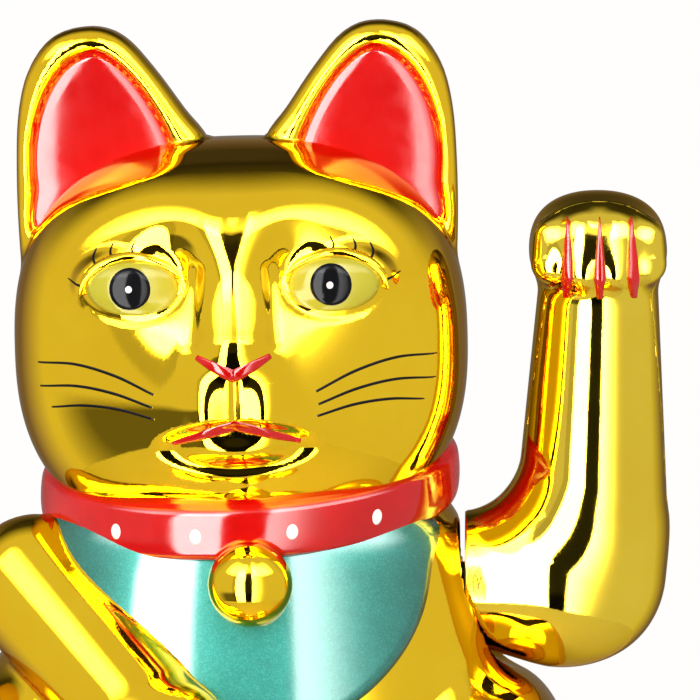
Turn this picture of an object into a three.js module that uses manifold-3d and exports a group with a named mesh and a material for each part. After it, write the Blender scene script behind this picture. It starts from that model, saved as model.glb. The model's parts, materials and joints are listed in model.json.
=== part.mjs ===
// A beckoning cat figurine with a battery-driven waving arm, in millimetres.
// +Z is up, the cat looks along -Y and its waving arm is on the +X side.
// The origin lies on the underside of the base plate, under the middle of the body.
import * as THREE from "three";
import { mergeVertices } from "three/addons/utils/BufferGeometryUtils.js";
import Module from "manifold-3d";

const wasm = await Module();
wasm.setup();

// ---------- driving dimensions ----------
const WALL = 1.6; // shell thickness
const GAP = 0.3; // clearance between neighbouring pieces
const SHELL_BOTTOM = 0.3; // the shells' lower rim, just above the base plate's underside
const SPLIT_Y = 4; // the plane where the front and rear body shells meet

const HEAD = { centre: [0, -2, 134], radii: [46.7, 40, 42], squareness: 2.5 };
const HEAD_TILT = THREE.MathUtils.degToRad(-1.4); // the head leans a little away from the waving arm
const HEAD_SHIFT = -0.8;
const NECK_Z = 100;

const EAR_TIP = [29.3, 199.3];
const EAR_DEPTH = 15;
const EAR_RIM = 5.5; // width of the rim round the recessed ear face
const EAR_RECESS = 3;

const TORSO_SQUARENESS = 2.4;
// height, half width, half depth
const TORSO_STATIONS = [
  [SHELL_BOTTOM, 52, 41],
  [14, 55, 44],
  [38, 55, 44],
  [60, 53, 42],
  [76, 49.5, 39],
  [88, 46.5, 36.5],
  [98, 44, 34],
  [104, 38, 31],
  [108, 30, 25],
];
const FLOOR_TOP = 5; // inside face of the shells' floor
const FLOOR_OPENING = [41, 31]; // half width and half depth of the hole in the floor

const COLLAR = { radiusX: 43, radiusY: 38, height: 10.6, thickness: 5, z: 104.6 };
const COLLAR_TILT = [THREE.MathUtils.degToRad(9.3), THREE.MathUtils.degToRad(-3.2)];
const BELL = { centre: [1.4, -41.4, 88.8], radius: 8.5 };

const PIVOT_Z = 84; // height of the waving arm's axis
const AXLE_RADIUS = 1.5;
const AXLE_SPAN = [-1, 58];
const STUB_START = 44;
const STUB_RADIUS = 15.3;
const POCKET_RADIUS = 16.6; // round recess in the body that the arm's root turns in
const FOREARM_X = 72;
const FINGER_PITCH = 6.8;
const PAW = { centre: [71.8, -4, 152.8], radii: [14.3, 13.2, 11] };
const ARM_SPLIT_LEAN = 6.3; // degrees the arm shells' split plane leans towards the fingers

const PLATE_OUTLINE = [46.6, 36.2]; // base plate half width and half depth
const PLATE_SQUARENESS = 2.6;
const PLATE_THICKNESS = 2.4;
const BASE_SCREWS = [
  [37, -21],
  [-37, -21],
  [36, 23],
  [-36, 23],
];

const CELL = { radius: 7.1, length: 49.2, centreY: 18.5, centreZ: 10.2 }; // one AA cell, lying along X
const BAY = { halfLength: 29.5, halfWidth: 8, top: 17.6, wall: 1.4 };
const DOOR = { halfLength: 29, halfWidth: 7.6, bottom: 0.4, thickness: 1.6, latch: 5.5 };

const LEVER_X = 19; // the plane of the pendulum lever
const LEVER_THICKNESS = 3;
const BRACKET_POSTS = [3.5, 31.5]; // the posts' faces nearest the middle plane
const POST_THICKNESS = 3;
const POST_REAR = 16.2; // the posts' rear edge, clear of the lever at the end of its swing
const COIL = { z: 6.4, height: 9, flange: 8.4, core: 3.2 };
const MAGNET = { radius: 3.9, thickness: 3, offsetY: 7, z: 21.5 };

// ---------- materials ----------
function material(color, roughness, metalness) {
  return new THREE.MeshStandardMaterial({ color, roughness, metalness });
}
const GOLD = material(0xd9ae1c, 0.12, 1);
const ARM_GOLD = material(0xdcc455, 0.14, 1);
const BLACK_PLASTIC = material(0x1b1b1d, 0.5, 0);
const WHITE_PLASTIC = material(0xe6e4dc, 0.45, 0);
const STEEL = material(0xb9bcc0, 0.3, 1);
const SPRING_STEEL = material(0xc7c9cb, 0.25, 1);
const BRASS = material(0xc8a04a, 0.3, 1);
const COPPER = material(0xb4622d, 0.35, 1);
const BOARD_GREEN = material(0x1f6b3a, 0.5, 0);
const CELL_LABEL = material(0x2c4a8c, 0.35, 0.2);
const RED_PLASTIC = material(0xb4221d, 0.45, 0);
const CERAMIC_TAN = material(0xc9b487, 0.5, 0);

// ---------- solids ----------
// A closed geometry as a solid that can be cut and joined.
function solid(geometry) {
  const bare = geometry.index ? geometry.toNonIndexed() : geometry.clone();
  bare.deleteAttribute("normal");
  bare.deleteAttribute("uv");
  const merged = mergeVertices(bare, 1e-4);
  const corners = merged.index.array;
  const kept = [];
  for (let i = 0; i < corners.length; i += 3) {
    const [a, b, c] = [corners[i], corners[i + 1], corners[i + 2]];
    if (a !== b && b !== c && c !== a) kept.push(a, b, c);
  }
  return new wasm.Manifold(
    new wasm.Mesh({
      numProp: 3,
      vertProperties: merged.attributes.position.array,
      triVerts: new Uint32Array(kept),
    }),
  );
}

function geometryOf(body) {
  const mesh = body.getMesh();
  const geometry = new THREE.BufferGeometry();
  geometry.setAttribute("position", new THREE.BufferAttribute(mesh.vertProperties, 3));
  geometry.setIndex(new THREE.BufferAttribute(mesh.triVerts, 1));
  geometry.computeVertexNormals();
  return geometry;
}

const joined = (...bodies) => bodies.reduce((sum, body) => sum.add(body));
const without = (body, ...tools) => tools.reduce((left, tool) => left.subtract(tool), body);

function box(low, high) {
  const size = high.map((value, axis) => value - low[axis]);
  const geometry = new THREE.BoxGeometry(...size);
  geometry.translate(...low.map((value, axis) => value + size[axis] / 2));
  return solid(geometry);
}

// A cylinder from `start` along the axis named, for `length`.
function rod(start, axis, length, radius, sides = 20, endRadius = radius) {
  const geometry = new THREE.CylinderGeometry(endRadius, radius, length, sides);
  geometry.translate(0, length / 2, 0);
  if (axis === "x") geometry.rotateZ(-Math.PI / 2);
  if (axis === "z") geometry.rotateX(Math.PI / 2);
  geometry.translate(...start);
  return solid(geometry);
}

// A sphere swollen towards a box: squareness 2 is an ellipsoid, and more is squarer.
function superellipsoid(centre, radii, squareness, sides, rings) {
  const geometry = new THREE.SphereGeometry(1, sides, rings);
  const positions = geometry.attributes.position;
  for (let i = 0; i < positions.count; i++) {
    const p = [positions.getX(i), positions.getY(i), positions.getZ(i)];
    const sum = p.reduce((total, v) => total + Math.abs(v) ** squareness, 0);
    const scale = sum ** (-1 / squareness);
    const [x, y, z] = p.map((v) => v * scale);
    // The sphere's poles lie on Y, and the figure's on Z.
    positions.setXYZ(i, x * radii[0], -z * radii[1], y * radii[2]);
  }
  geometry.translate(...centre);
  return solid(geometry);
}

// One ring of a squared oval at a height.
function ovalPoint(angle, halfWidth, halfDepth, squareness) {
  const c = Math.cos(angle);
  const s = Math.sin(angle);
  const scale = (Math.abs(c) ** squareness + Math.abs(s) ** squareness) ** (-1 / squareness);
  return [halfWidth * c * scale, halfDepth * s * scale];
}

// A body of squared-oval sections, through stations of height, half width and half depth.
function ovalLoft(stations, squareness, sides) {
  const profile = [new THREE.Vector2(0, 0)];
  stations.forEach((_, i) => profile.push(new THREE.Vector2(1, i)));
  profile.push(new THREE.Vector2(0, stations.length - 1));
  const geometry = new THREE.LatheGeometry(profile, sides);
  const positions = geometry.attributes.position;
  for (let i = 0; i < positions.count; i++) {
    const [height, halfWidth, halfDepth] = stations[Math.round(positions.getY(i))];
    const angle = Math.atan2(positions.getX(i), positions.getZ(i));
    const onAxis = Math.hypot(positions.getX(i), positions.getZ(i)) < 0.5;
    const [x, y] = onAxis ? [0, 0] : ovalPoint(angle, halfWidth, halfDepth, squareness);
    positions.setXYZ(i, x, y, height);
  }
  return solid(geometry);
}

// A squared-oval plate between two heights.
function ovalPlate([halfWidth, halfDepth], squareness, bottom, top, sides = 40) {
  const shape = new THREE.Shape();
  for (let i = 0; i < sides; i++) {
    const [x, y] = ovalPoint((i / sides) * Math.PI * 2, halfWidth, halfDepth, squareness);
    if (i) shape.lineTo(x, y);
    else shape.moveTo(x, y);
  }
  return extruded(shape, "z", bottom, top);
}

// A shape extruded between two places on an axis: "z" keeps XY, "y" maps (x, z), "x" maps (y, z).
function extruded(shape, axis, from, to, curveSegments = 6) {
  const depth = to - from;
  const geometry = new THREE.ExtrudeGeometry(shape, { depth, bevelEnabled: false, curveSegments });
  if (axis === "z") geometry.translate(0, 0, from);
  if (axis === "y") {
    geometry.rotateX(Math.PI / 2);
    geometry.translate(0, to, 0);
  }
  if (axis === "x") {
    geometry.rotateX(Math.PI / 2);
    geometry.rotateZ(Math.PI / 2);
    geometry.translate(from, 0, 0);
  }
  return solid(geometry);
}

function polygon(points) {
  return new THREE.Shape(points.map(([a, b]) => new THREE.Vector2(a, b)));
}

// A capsule between two points, with a radius at each end.
function limb(start, startRadius, end, endRadius, sides = 20, arcSteps = 5) {
  const a = new THREE.Vector3(...start);
  const along = new THREE.Vector3(...end).sub(a);
  const length = along.length();
  const lean = Math.asin((startRadius - endRadius) / length);
  const profile = [];
  for (let i = 0; i <= arcSteps; i++) {
    const angle = -Math.PI / 2 + (i / arcSteps) * (lean + Math.PI / 2);
    profile.push([startRadius * Math.cos(angle), startRadius * Math.sin(angle)]);
  }
  for (let i = 0; i <= arcSteps; i++) {
    const angle = lean + (i / arcSteps) * (Math.PI / 2 - lean);
    profile.push([endRadius * Math.cos(angle), length + endRadius * Math.sin(angle)]);
  }
  profile[0][0] = 0;
  profile[profile.length - 1][0] = 0;
  const points = profile.map(([r, h]) => new THREE.Vector2(r, h));
  const geometry = new THREE.LatheGeometry(points, sides);
  const turn = new THREE.Quaternion();
  turn.setFromUnitVectors(new THREE.Vector3(0, 1, 0), along.normalize());
  geometry.applyQuaternion(turn);
  geometry.translate(...start);
  return solid(geometry);
}

// A ring or disc turned about an upright axis from a closed or axis-to-axis profile of [radius, height].
function turned(profile, [x, y, z], sides = 24) {
  const points = profile.map(([r, h]) => new THREE.Vector2(r, h));
  const geometry = new THREE.LatheGeometry(points, sides);
  geometry.rotateX(Math.PI / 2);
  geometry.translate(x, y, z);
  return solid(geometry);
}

// A round wire along a smooth curve through its points.
function wire(points, radius, sides, steps) {
  const curve = new THREE.CatmullRomCurve3(points.map((p) => new THREE.Vector3(...p)));
  const section = new THREE.Shape();
  section.absarc(0, 0, radius, 0, Math.PI * 2);
  const options = { steps, curveSegments: sides, bevelEnabled: false, extrudePath: curve };
  return solid(new THREE.ExtrudeGeometry(section, options));
}

// ---------- outer form of the body ----------
// Places a head piece with the head's lean about the neck.
function leaned(body) {
  const matrix = new THREE.Matrix4()
    .makeTranslation(HEAD_SHIFT, 0, NECK_Z)
    .multiply(new THREE.Matrix4().makeRotationY(HEAD_TILT))
    .multiply(new THREE.Matrix4().makeTranslation(0, 0, -NECK_Z));
  return solid(geometryOf(body).applyMatrix4(matrix));
}

// The ear's front outline, drawn smaller by `inset`, on the side given by +1 or -1.
function earOutline(side, inset) {
  const [tipX, tipZ] = EAR_TIP;
  const tipRadius = 10.5 - inset * 0.75;
  const outer = 45.6 - inset;
  const inner = 4 + inset * 1.5;
  const low = 150;
  const shape = new THREE.Shape();
  shape.moveTo(side * inner, low);
  shape.lineTo(side * inner, 172 - inset * 1.5);
  shape.bezierCurveTo(
    side * (inner + 6), 179 - inset, side * (tipX - tipRadius - 2), tipZ - 8 - inset,
    side * (tipX - 3), tipZ - inset,
  );
  shape.bezierCurveTo(
    side * (tipX + tipRadius * 0.7), tipZ + 1 - inset, side * outer, tipZ - 14,
    side * outer, 176,
  );
  shape.lineTo(side * outer, low);
  return shape;
}

function ear(side) {
  const bevel = 3.5;
  const rounded = new THREE.ExtrudeGeometry(earOutline(side, bevel), {
    depth: EAR_DEPTH - 2 * bevel,
    bevelThickness: bevel,
    bevelSize: bevel,
    bevelSegments: 2,
    curveSegments: 6,
  });
  rounded.rotateX(Math.PI / 2);
  rounded.translate(0, HEAD.centre[1] + EAR_DEPTH / 2 - bevel, 0);
  const front = HEAD.centre[1] - EAR_DEPTH / 2;
  const face = extruded(earOutline(side, EAR_RIM), "y", front - 4, front + EAR_RECESS);
  const aboveBrow = box([-60, -60, 166], [60, 60, 210]);
  return without(solid(rounded), face.intersect(aboveBrow));
}

function earHollow(side) {
  const front = HEAD.centre[1] - EAR_DEPTH / 2 + EAR_RECESS + WALL;
  const back = HEAD.centre[1] + EAR_DEPTH / 2 - WALL;
  return extruded(earOutline(side, EAR_RIM), "y", front, back, 4);
}

function face() {
  const eyes = [-1, 1].map((side) =>
    superellipsoid([side * 19.7, -31.6, 148.5], [13, 8.2, 8.6], 2, 14, 8),
  );
  const puffs = [-1, 1].map((side) =>
    superellipsoid([side * 6.8, -42.5, 125.2], [6, 6.4, 6.5], 2, 12, 8),
  );
  const bridge = limb([0, -37, 156], 4.8, [0, -44.4, 138], 5.8, 12, 4);
  const muzzle = superellipsoid([0, -34, 124], [24, 14.6, 15], 2, 18, 10);
  const lip = superellipsoid([0, -39.8, 114.5], [11, 6.2, 3.2], 2, 14, 6);
  const chin = superellipsoid([0, -31.5, 105.5], [13, 6.4, 5], 2, 12, 6);
  return joined(bridge, muzzle, lip, chin, ...puffs, ...eyes);
}

function head() {
  const skull = superellipsoid(HEAD.centre, HEAD.radii, HEAD.squareness, 32, 18);
  return leaned(joined(skull, face(), ear(1), ear(-1)));
}

function headHollow() {
  const radii = HEAD.radii.map((r) => r - WALL);
  const skull = superellipsoid(HEAD.centre, radii, HEAD.squareness, 18, 10);
  return leaned(joined(skull, earHollow(1), earHollow(-1)));
}

function collar() {
  const { radiusX, radiusY, height, thickness, z } = COLLAR;
  const half = height / 2;
  const edge = 2.2;
  const section = [
    [radiusX - thickness - 6, -half],
    [radiusX - edge, -half],
    [radiusX, -half + edge],
    [radiusX + 0.3, 0],
    [radiusX, half - 1],
    [radiusX - edge, half + 1],
    [radiusX - thickness, half + 2.3],
    [radiusX - thickness - 6, half + 2.3],
    [radiusX - thickness - 6, -half],
  ];
  const points = section.map(([r, h]) => new THREE.Vector2(r, h));
  const geometry = new THREE.LatheGeometry(points, 32);
  geometry.rotateX(Math.PI / 2);
  geometry.scale(1, radiusY / radiusX, 1);
  geometry.rotateX(COLLAR_TILT[0]);
  geometry.rotateY(COLLAR_TILT[1]);
  geometry.translate(0, 0, z);
  return solid(geometry);
}

function torso(shrink, sides) {
  const stations = TORSO_STATIONS.map(([z, w, d]) => [z, w - shrink, d - shrink]);
  return ovalLoft(stations, TORSO_SQUARENESS, sides);
}

// The bib's thin raised field, between the collar and the resting arm.
function bib() {
  const outline = polygon([
    [-40.5, 102], [-40.5, 93], [-30, 82], [-15, 66], [-2, 61.5], [10, 60.5],
    [21, 63.5], [30, 71], [35.6, 80], [37.8, 90], [38, 102],
  ]);
  return torso(-0.6, 32).intersect(extruded(outline, "y", -60, -6));
}

// The folded legs: a haunch and a foot on each side.
const HAUNCH = { x: 45, y: -5, z: 35, radii: [22.5, 35, 32] };
const FOOT = { x: 31, y: -45, z: 10.5, radii: [15, 19, 10.5] };

function legs(shrink, sides, rings) {
  const pieces = [-1, 1].flatMap((side) => [
    superellipsoid(
      [side * HAUNCH.x, HAUNCH.y, HAUNCH.z], HAUNCH.radii.map((r) => r - shrink), 2.8, sides, rings,
    ),
    superellipsoid(
      [side * FOOT.x, FOOT.y, FOOT.z], FOOT.radii.map((r) => r - shrink), 2.3, sides, rings - 2,
    ),
  ]);
  return joined(...pieces);
}

// The resting arm lies down over the belly, on the -X side.
const SHOULDER = [-43.5, -14, 84.5];
const WRIST = [-17.5, -43.5, 59.5];

function restingArm(shrink) {
  const upper = limb(SHOULDER, 14.6 - shrink, WRIST, 12 - shrink, shrink ? 10 : 18, shrink ? 3 : 5);
  if (shrink) return upper;
  const paw = superellipsoid([-15, -46.5, 56.5], [13, 10, 12.5], 2.3, 16, 10);
  return joined(upper, paw);
}

// A plain oval coin, moulded upright in front of the belly.
function coin() {
  const disc = new THREE.CylinderGeometry(1, 1, 8, 28);
  disc.scale(14.5, 1, 21);
  disc.rotateY(THREE.MathUtils.degToRad(-14));
  disc.rotateX(THREE.MathUtils.degToRad(-4));
  disc.translate(-3, -47, 26);
  return solid(disc);
}

function tail() {
  return joined(
    limb([6, 41, 12], 7, [27, 38, 12], 7, 14, 4),
    limb([27, 38, 12], 7, [38, 30, 26], 5.5, 14, 4),
  );
}

function bodyOuter() {
  const form = joined(
    torso(0, 32), head(), collar(), bib(), legs(0, 16, 10), restingArm(0), coin(), tail(),
    superellipsoid(BELL.centre, [BELL.radius, BELL.radius, BELL.radius], 2, 16, 10),
  );
  const belowRim = box([-120, -120, -30], [120, 120, SHELL_BOTTOM]);
  const pocket = rod([STUB_START - 1, 0, PIVOT_Z], "x", 40, POCKET_RADIUS, 32);
  return without(form, belowRim, pocket);
}

function bodyHollow() {
  const hollow = joined(
    torso(WALL, 18), headHollow(), legs(WALL, 10, 7), restingArm(WALL + 0.5),
  );
  const floor = box([-120, -120, -30], [120, 120, FLOOR_TOP]);
  const pocketWall = rod([STUB_START - 1 - WALL, 0, PIVOT_Z], "x", 40, POCKET_RADIUS + WALL, 32);
  const axleHole = rod([20, 0, PIVOT_Z], "x", 40, 5, 20);
  const recess = ovalPlate(
    PLATE_OUTLINE.map((r) => r + 0.4), PLATE_SQUARENESS, -1, PLATE_THICKNESS + GAP,
  );
  const opening = ovalPlate(FLOOR_OPENING, PLATE_SQUARENESS, -1, FLOOR_TOP + 1, 32);
  const screwHoles = BASE_SCREWS.map(([x, y]) => rod([x, y, 0], "z", FLOOR_TOP + 4, 1.55, 10));
  const bayOpening = box([-31.5, 0, -1], [31.5, 28.6, FLOOR_TOP + 1]);
  const inside = without(hollow, floor, pocketWall);
  return joined(inside, axleHole, recess, opening, bayOpening, ...screwHoles);
}

// Posts inside the shells that the base screws bite into.
function screwBosses() {
  return joined(
    ...BASE_SCREWS.map(([x, y]) =>
      without(
        rod([x, y, FLOOR_TOP - 1], "z", 9, 3.4, 14),
        rod([x, y, 0], "z", 30, 1.55, 10),
      ),
    ),
  );
}

function bodyShells() {
  const shell = without(bodyOuter(), bodyHollow());
  const withBosses = shell.add(screwBosses());
  const front = withBosses.intersect(box([-120, -120, -5], [120, SPLIT_Y - GAP / 2, 220]));
  const rear = withBosses.intersect(box([-120, SPLIT_Y + GAP / 2, -5], [120, 120, 220]));
  return { front, rear };
}

// ---------- waving arm, placed from its axis ----------
function armForm(shrink, sides, rings) {
  const s = shrink;
  const start = s ? STUB_START + WALL : STUB_START;
  const stub = rod([start, 0, 0], "x", 64 - start, STUB_RADIUS - s, sides);
  const elbow = superellipsoid([66.8, 0, 2.8], [19.4 - s, 16.2 - s, 20.4 - s], 2.1, sides, rings);
  const forearm = limb([70.5, 0, 10], 15.3 - s, [FOREARM_X + 0.5, -0.5, 62], 11.8 - s, sides, 5);
  const [x, y, z] = PAW.centre;
  const paw = superellipsoid([x, y, z - PIVOT_Z], PAW.radii.map((r) => r - s), 2.6, sides, rings);
  if (s) return joined(stub, elbow, forearm, paw);
  const fingers = [-1.5, -0.5, 0.5, 1.5].map((step) => {
    const fingerX = x + step * FINGER_PITCH;
    const fingerY = y - 9.2 + 0.9 * step * step;
    return limb([fingerX, fingerY, 75], 4.2, [fingerX, fingerY + 0.6, 62.5], 4, 10, 3);
  });
  return joined(stub, elbow, forearm, paw, ...fingers);
}

function armShells() {
  const hubHole = rod([STUB_START - 5, 0, 0], "x", 12, 4, 16);
  const shell = without(armForm(0, 20, 12), armForm(WALL - 0.2, 12, 7), hubHole);
  const side = (low, high) => box([0, low, -90], [120, high, 120]).rotate([ARM_SPLIT_LEAN, 0, 0]);
  const front = shell.intersect(side(-90, -GAP / 2));
  const rear = shell.intersect(side(GAP / 2, 90));
  return { front, rear };
}

function armHub() {
  const hub = joined(
    rod([STUB_START - 4, 0, 0], "x", 14, 3.6, 16),
    rod([STUB_START + WALL + 0.4, 0, 0], "x", 2.4, 11, 24),
    box([STUB_START + WALL + 1, -1.6, -10], [STUB_START + 10, 1.6, 10]),
  );
  return without(hub, rod([STUB_START - 6, 0, 0], "x", 18, AXLE_RADIUS + GAP, 16));
}

const CLIP_X = 1; // the snap ring's groove near the axle's inner end

function axle() {
  const groove = without(
    rod([CLIP_X - 0.2, 0, 0], "x", 1, AXLE_RADIUS + 1, 16),
    rod([CLIP_X - 1, 0, 0], "x", 3, AXLE_RADIUS - 0.4, 12),
  );
  return without(rod([AXLE_SPAN[0], 0, 0], "x", AXLE_SPAN[1] - AXLE_SPAN[0], AXLE_RADIUS, 16), groove);
}

// An open snap ring that sits in the axle's groove.
function axleClip() {
  const ring = new THREE.Shape();
  ring.absarc(0, 0, 3.4, -Math.PI * 0.3, Math.PI * 1.3);
  ring.absarc(0, 0, 1.4, Math.PI * 1.3, -Math.PI * 0.3, true);
  ring.closePath();
  return extruded(ring, "x", CLIP_X, CLIP_X + 0.6, 8);
}

// The pendulum: a lever with two magnets under it and a weight, hung from the axle.
const MAGNET_Z = MAGNET.z - PIVOT_Z; // underside of the magnets, from the axis
const WEIGHT = { halfX: 8, halfY: 10.5, bottom: MAGNET_Z + 7, height: 8, y: 1.3 };

function pendulumLever() {
  const x = [LEVER_X - LEVER_THICKNESS / 2, LEVER_X + LEVER_THICKNESS / 2];
  const blade = extruded(
    polygon([[-5, 2], [-3.5, MAGNET_Z + 6], [3.5, MAGNET_Z + 6], [5, 2]]), "x", x[0], x[1],
  );
  const hub = rod([LEVER_X - 4, 0, 0], "x", 8, 6, 24);
  const cup = box([LEVER_X - 5.5, -12.5, MAGNET_Z - 0.8], [LEVER_X + 5.5, 12.5, MAGNET_Z + 6.2]);
  const pockets = [-1, 1].map((side) =>
    rod(
      [LEVER_X, side * MAGNET.offsetY, MAGNET_Z - 2], "z",
      MAGNET.thickness + 2 + GAP, MAGNET.radius + GAP, 20,
    ),
  );
  const bore = rod([LEVER_X - 6, 0, 0], "x", 12, AXLE_RADIUS + GAP, 16);
  return without(joined(blade, hub, cup), bore, ...pockets);
}

function magnet(side) {
  return rod([LEVER_X, side * MAGNET.offsetY, MAGNET_Z], "z", MAGNET.thickness, MAGNET.radius, 20);
}

// A steel block slotted over the lever's blade, which outweighs the hollow arm.
function counterweight() {
  const { halfX, halfY, bottom, height, y } = WEIGHT;
  const slot = LEVER_THICKNESS / 2 + GAP;
  return without(
    box([LEVER_X - halfX, y - halfY, bottom], [LEVER_X + halfX, y + halfY, bottom + height]),
    box([LEVER_X - slot, -4.6, bottom - 1], [LEVER_X + slot, 4.6, bottom + height + 1]),
  );
}

// ---------- base, battery bay and door ----------
function basePlate() {
  const { halfLength, halfWidth, top, wall } = BAY;
  const y = CELL.centreY;
  const plate = ovalPlate(PLATE_OUTLINE, PLATE_SQUARENESS, 0, PLATE_THICKNESS);
  const bay = box(
    [-halfLength - wall, y - halfWidth - wall, 0],
    [halfLength + wall, y + halfWidth + wall, top + wall],
  );
  const inside = box([-halfLength, y - halfWidth, -1], [halfLength, y + halfWidth, top]);
  const leadSlots = [-1, 1].map((side) =>
    box([side * 27 - 1.1, y - halfWidth - wall - 1, 12.9], [side * 27 + 1.1, y - halfWidth + 1, 15.1]),
  );
  const screwHoles = BASE_SCREWS.flatMap(([x, sy]) => [
    rod([x, sy, -1], "z", 6, 1.7, 12),
    rod([x, sy, -1], "z", 2.7, 3, 16),
  ]);
  return without(joined(plate, bay), inside, ...leadSlots, ...screwHoles);
}

function batteryDoor() {
  const { halfLength, halfWidth, bottom, thickness } = DOOR;
  const y = CELL.centreY;
  const panel = box([-halfLength, y - halfWidth, bottom], [halfLength, y + halfWidth, bottom + thickness]);
  const ribs = [-14, 0, 14].map((x) =>
    box([x - 0.6, y - 5, bottom + 1], [x + 0.6, y + 5, bottom + thickness + 0.35]),
  );
  const latch = box([halfLength - 2.2, y - 4, bottom], [halfLength - 1, y + 4, bottom + DOOR.latch]);
  const grip = box([halfLength - 9, y - 5, bottom - 1], [halfLength - 6, y + 5, bottom + 0.6]);
  return without(joined(panel, latch, ...ribs), grip);
}

function batteryCell() {
  const { radius, length, centreY, centreZ } = CELL;
  const can = rod([-length / 2, centreY, centreZ], "x", length, radius, 28);
  const nub = rod([length / 2 - 0.5, centreY, centreZ], "x", 1.8, 2.7, 14);
  return joined(can, nub);
}

// The minus contact: a cone-shaped coil on a thin plate.
function springContact() {
  const { centreY, centreZ, length } = CELL;
  const plateX = -BAY.halfLength + GAP;
  const plate = box([plateX, centreY - 5.5, centreZ - 5.5], [plateX + 0.5, centreY + 5.5, centreZ + 5.5]);
  const turns = 2.5;
  const reach = -length / 2 - GAP - 0.5 - plateX - 0.2;
  const points = [];
  for (let i = 0; i <= 20; i++) {
    const t = i / 20;
    const angle = t * turns * Math.PI * 2;
    const radius = 4.6 - 2 * t;
    const along = plateX + 0.3 + reach * t;
    points.push([along, centreY + radius * Math.cos(angle), centreZ + radius * Math.sin(angle)]);
  }
  return plate.add(wire(points, 0.4, 3, 36));
}

// The plus contact: a bent plate with a raised dimple.
function plateContact() {
  const { centreY, centreZ } = CELL;
  const x = BAY.halfLength - GAP;
  const plate = box([x - 0.5, centreY - 5.5, centreZ - 5.5], [x, centreY + 5.5, centreZ + 5.5]);
  const dimple = rod([x - 2.5, centreY, centreZ], "x", 2.2, 2, 14, 3);
  return plate.add(dimple);
}

// ---------- drive, fixed to the base plate ----------
function bracket() {
  const floorZ = PLATE_THICKNESS + GAP;
  const [left, right] = BRACKET_POSTS;
  const outline = [
    [-16, floorZ], [7.8, floorZ], [7.8, 24], [POST_REAR, 34], [POST_REAR, 62], [5.5, PIVOT_Z + 5],
    [-5.5, PIVOT_Z + 5], [-8.5, 60],
  ];
  const posts = [left, right].map((x) =>
    extruded(polygon(outline), "x", x, x + POST_THICKNESS),
  );
  const foot = box([left, -20.8, floorZ], [right + POST_THICKNESS / 2, 7.8, floorZ + 1.6]);
  const tie = box([left, POST_REAR - 1.6, 56], [right + POST_THICKNESS, POST_REAR, 62]);
  const topTie = box([left, -3, PIVOT_Z + 9], [right + POST_THICKNESS, 3, PIVOT_Z + 11]);
  const ears = [left, right].map((x) =>
    box([x, -3, PIVOT_Z + 4], [x + POST_THICKNESS, 3, PIVOT_Z + 11]),
  );
  const bearingHoles = rod([left - 2, 0, PIVOT_Z], "x", right - left + 8, 3.5, 20);
  const screwHoles = bracketScrewPlaces().map(([x, y]) => rod([x, y, 0], "z", 8, 1.6, 12));
  return without(joined(...posts, foot, tie, topTie, ...ears), bearingHoles, ...screwHoles);
}

function bracketScrewPlaces() {
  return BRACKET_POSTS.map((x) => [x + (x < LEVER_X ? 5 : -2), -17.8]);
}

// A flanged bush in a post, which the axle turns in.
function bearing(postX, outward) {
  const bore = AXLE_RADIUS + GAP;
  const flangeX = outward < 0 ? postX - GAP - 1 : postX + POST_THICKNESS + GAP;
  return without(
    joined(
      rod([postX - GAP - 0.2, 0, PIVOT_Z], "x", POST_THICKNESS + 2 * GAP + 0.4, 3.2, 20),
      rod([flangeX, 0, PIVOT_Z], "x", 1, 4.8, 20),
    ),
    rod([postX - 4, 0, PIVOT_Z], "x", 12, bore, 16),
  );
}

function circuitBoard() {
  const z = PLATE_THICKNESS + GAP + 1.6 + GAP;
  const board = box([7.2, -14.7, z], [30.8, 7.4, z + 1.2]);
  return without(board, rod([LEVER_X, 0, z - 1], "z", 4, 1.2, 12));
}

function coilBobbin() {
  const { z, height, flange, core } = COIL;
  return turned(
    [
      [1.4, 0], [flange - 0.2, 0], [flange - 0.2, 1], [core, 1], [core, height - 1],
      [flange - 0.2, height - 1], [flange - 0.2, height], [1.4, height], [1.4, 0],
    ],
    [LEVER_X, 0, z],
  );
}

function coilWinding() {
  const { z, height, flange, core } = COIL;
  const inner = core + GAP;
  const outer = flange - 1;
  const [low, high] = [1 + GAP, height - 1 - GAP];
  return turned(
    [[inner, low], [outer, low], [outer + 0.3, (low + high) / 2], [outer, high], [inner, high], [inner, low]],
    [LEVER_X, 0, z],
  );
}

const BOARD_TOP = PLATE_THICKNESS + GAP + 1.6 + GAP + 1.2 + GAP;

function driveChip() {
  const round = rod([12.7, -11, BOARD_TOP + 1.5], "z", 4.6, 2.3, 14);
  const flatSide = box([9, -14.5, 0], [16, -11.9, 30]);
  return without(round, flatSide);
}

function capacitor() {
  return joined(
    rod([19, -12.2, BOARD_TOP], "z", 7.5, 2.4, 18),
    rod([19, -12.2, BOARD_TOP + 7.4], "z", 0.4, 1.9, 18),
  );
}

function resistor() {
  const z = BOARD_TOP + 1.4;
  return joined(
    rod([24, -12.5, z], "x", 4.8, 1.1, 12),
    rod([22.8, -12.5, z], "x", 7.2, 0.35, 8),
  );
}

// A lead from a battery contact, through its slot in the bay's wall, to the circuit board.
function lead(side) {
  const slotX = side * 27;
  const start = [
    [slotX, CELL.centreY - 5.9, 14],
    [slotX, CELL.centreY - BAY.halfWidth - 2.5, 13.8],
  ];
  const toFrontRight = [[29.4, 3, 10], [29.4, -4, 9], [28.9, -8, 8.4], [28.6, -10.3, 6.9]];
  const roundThePost = [
    [-15, 3, 9], [-3, -9, 8.4], [1, -17, 8.8], [7, -17.6, 9], [8.5, -13, 8.4], [8.6, -9, 6.9],
  ];
  return wire([...start, ...(side > 0 ? toFrontRight : roundThePost)], 0.55, 3, side > 0 ? 16 : 26);
}

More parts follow.
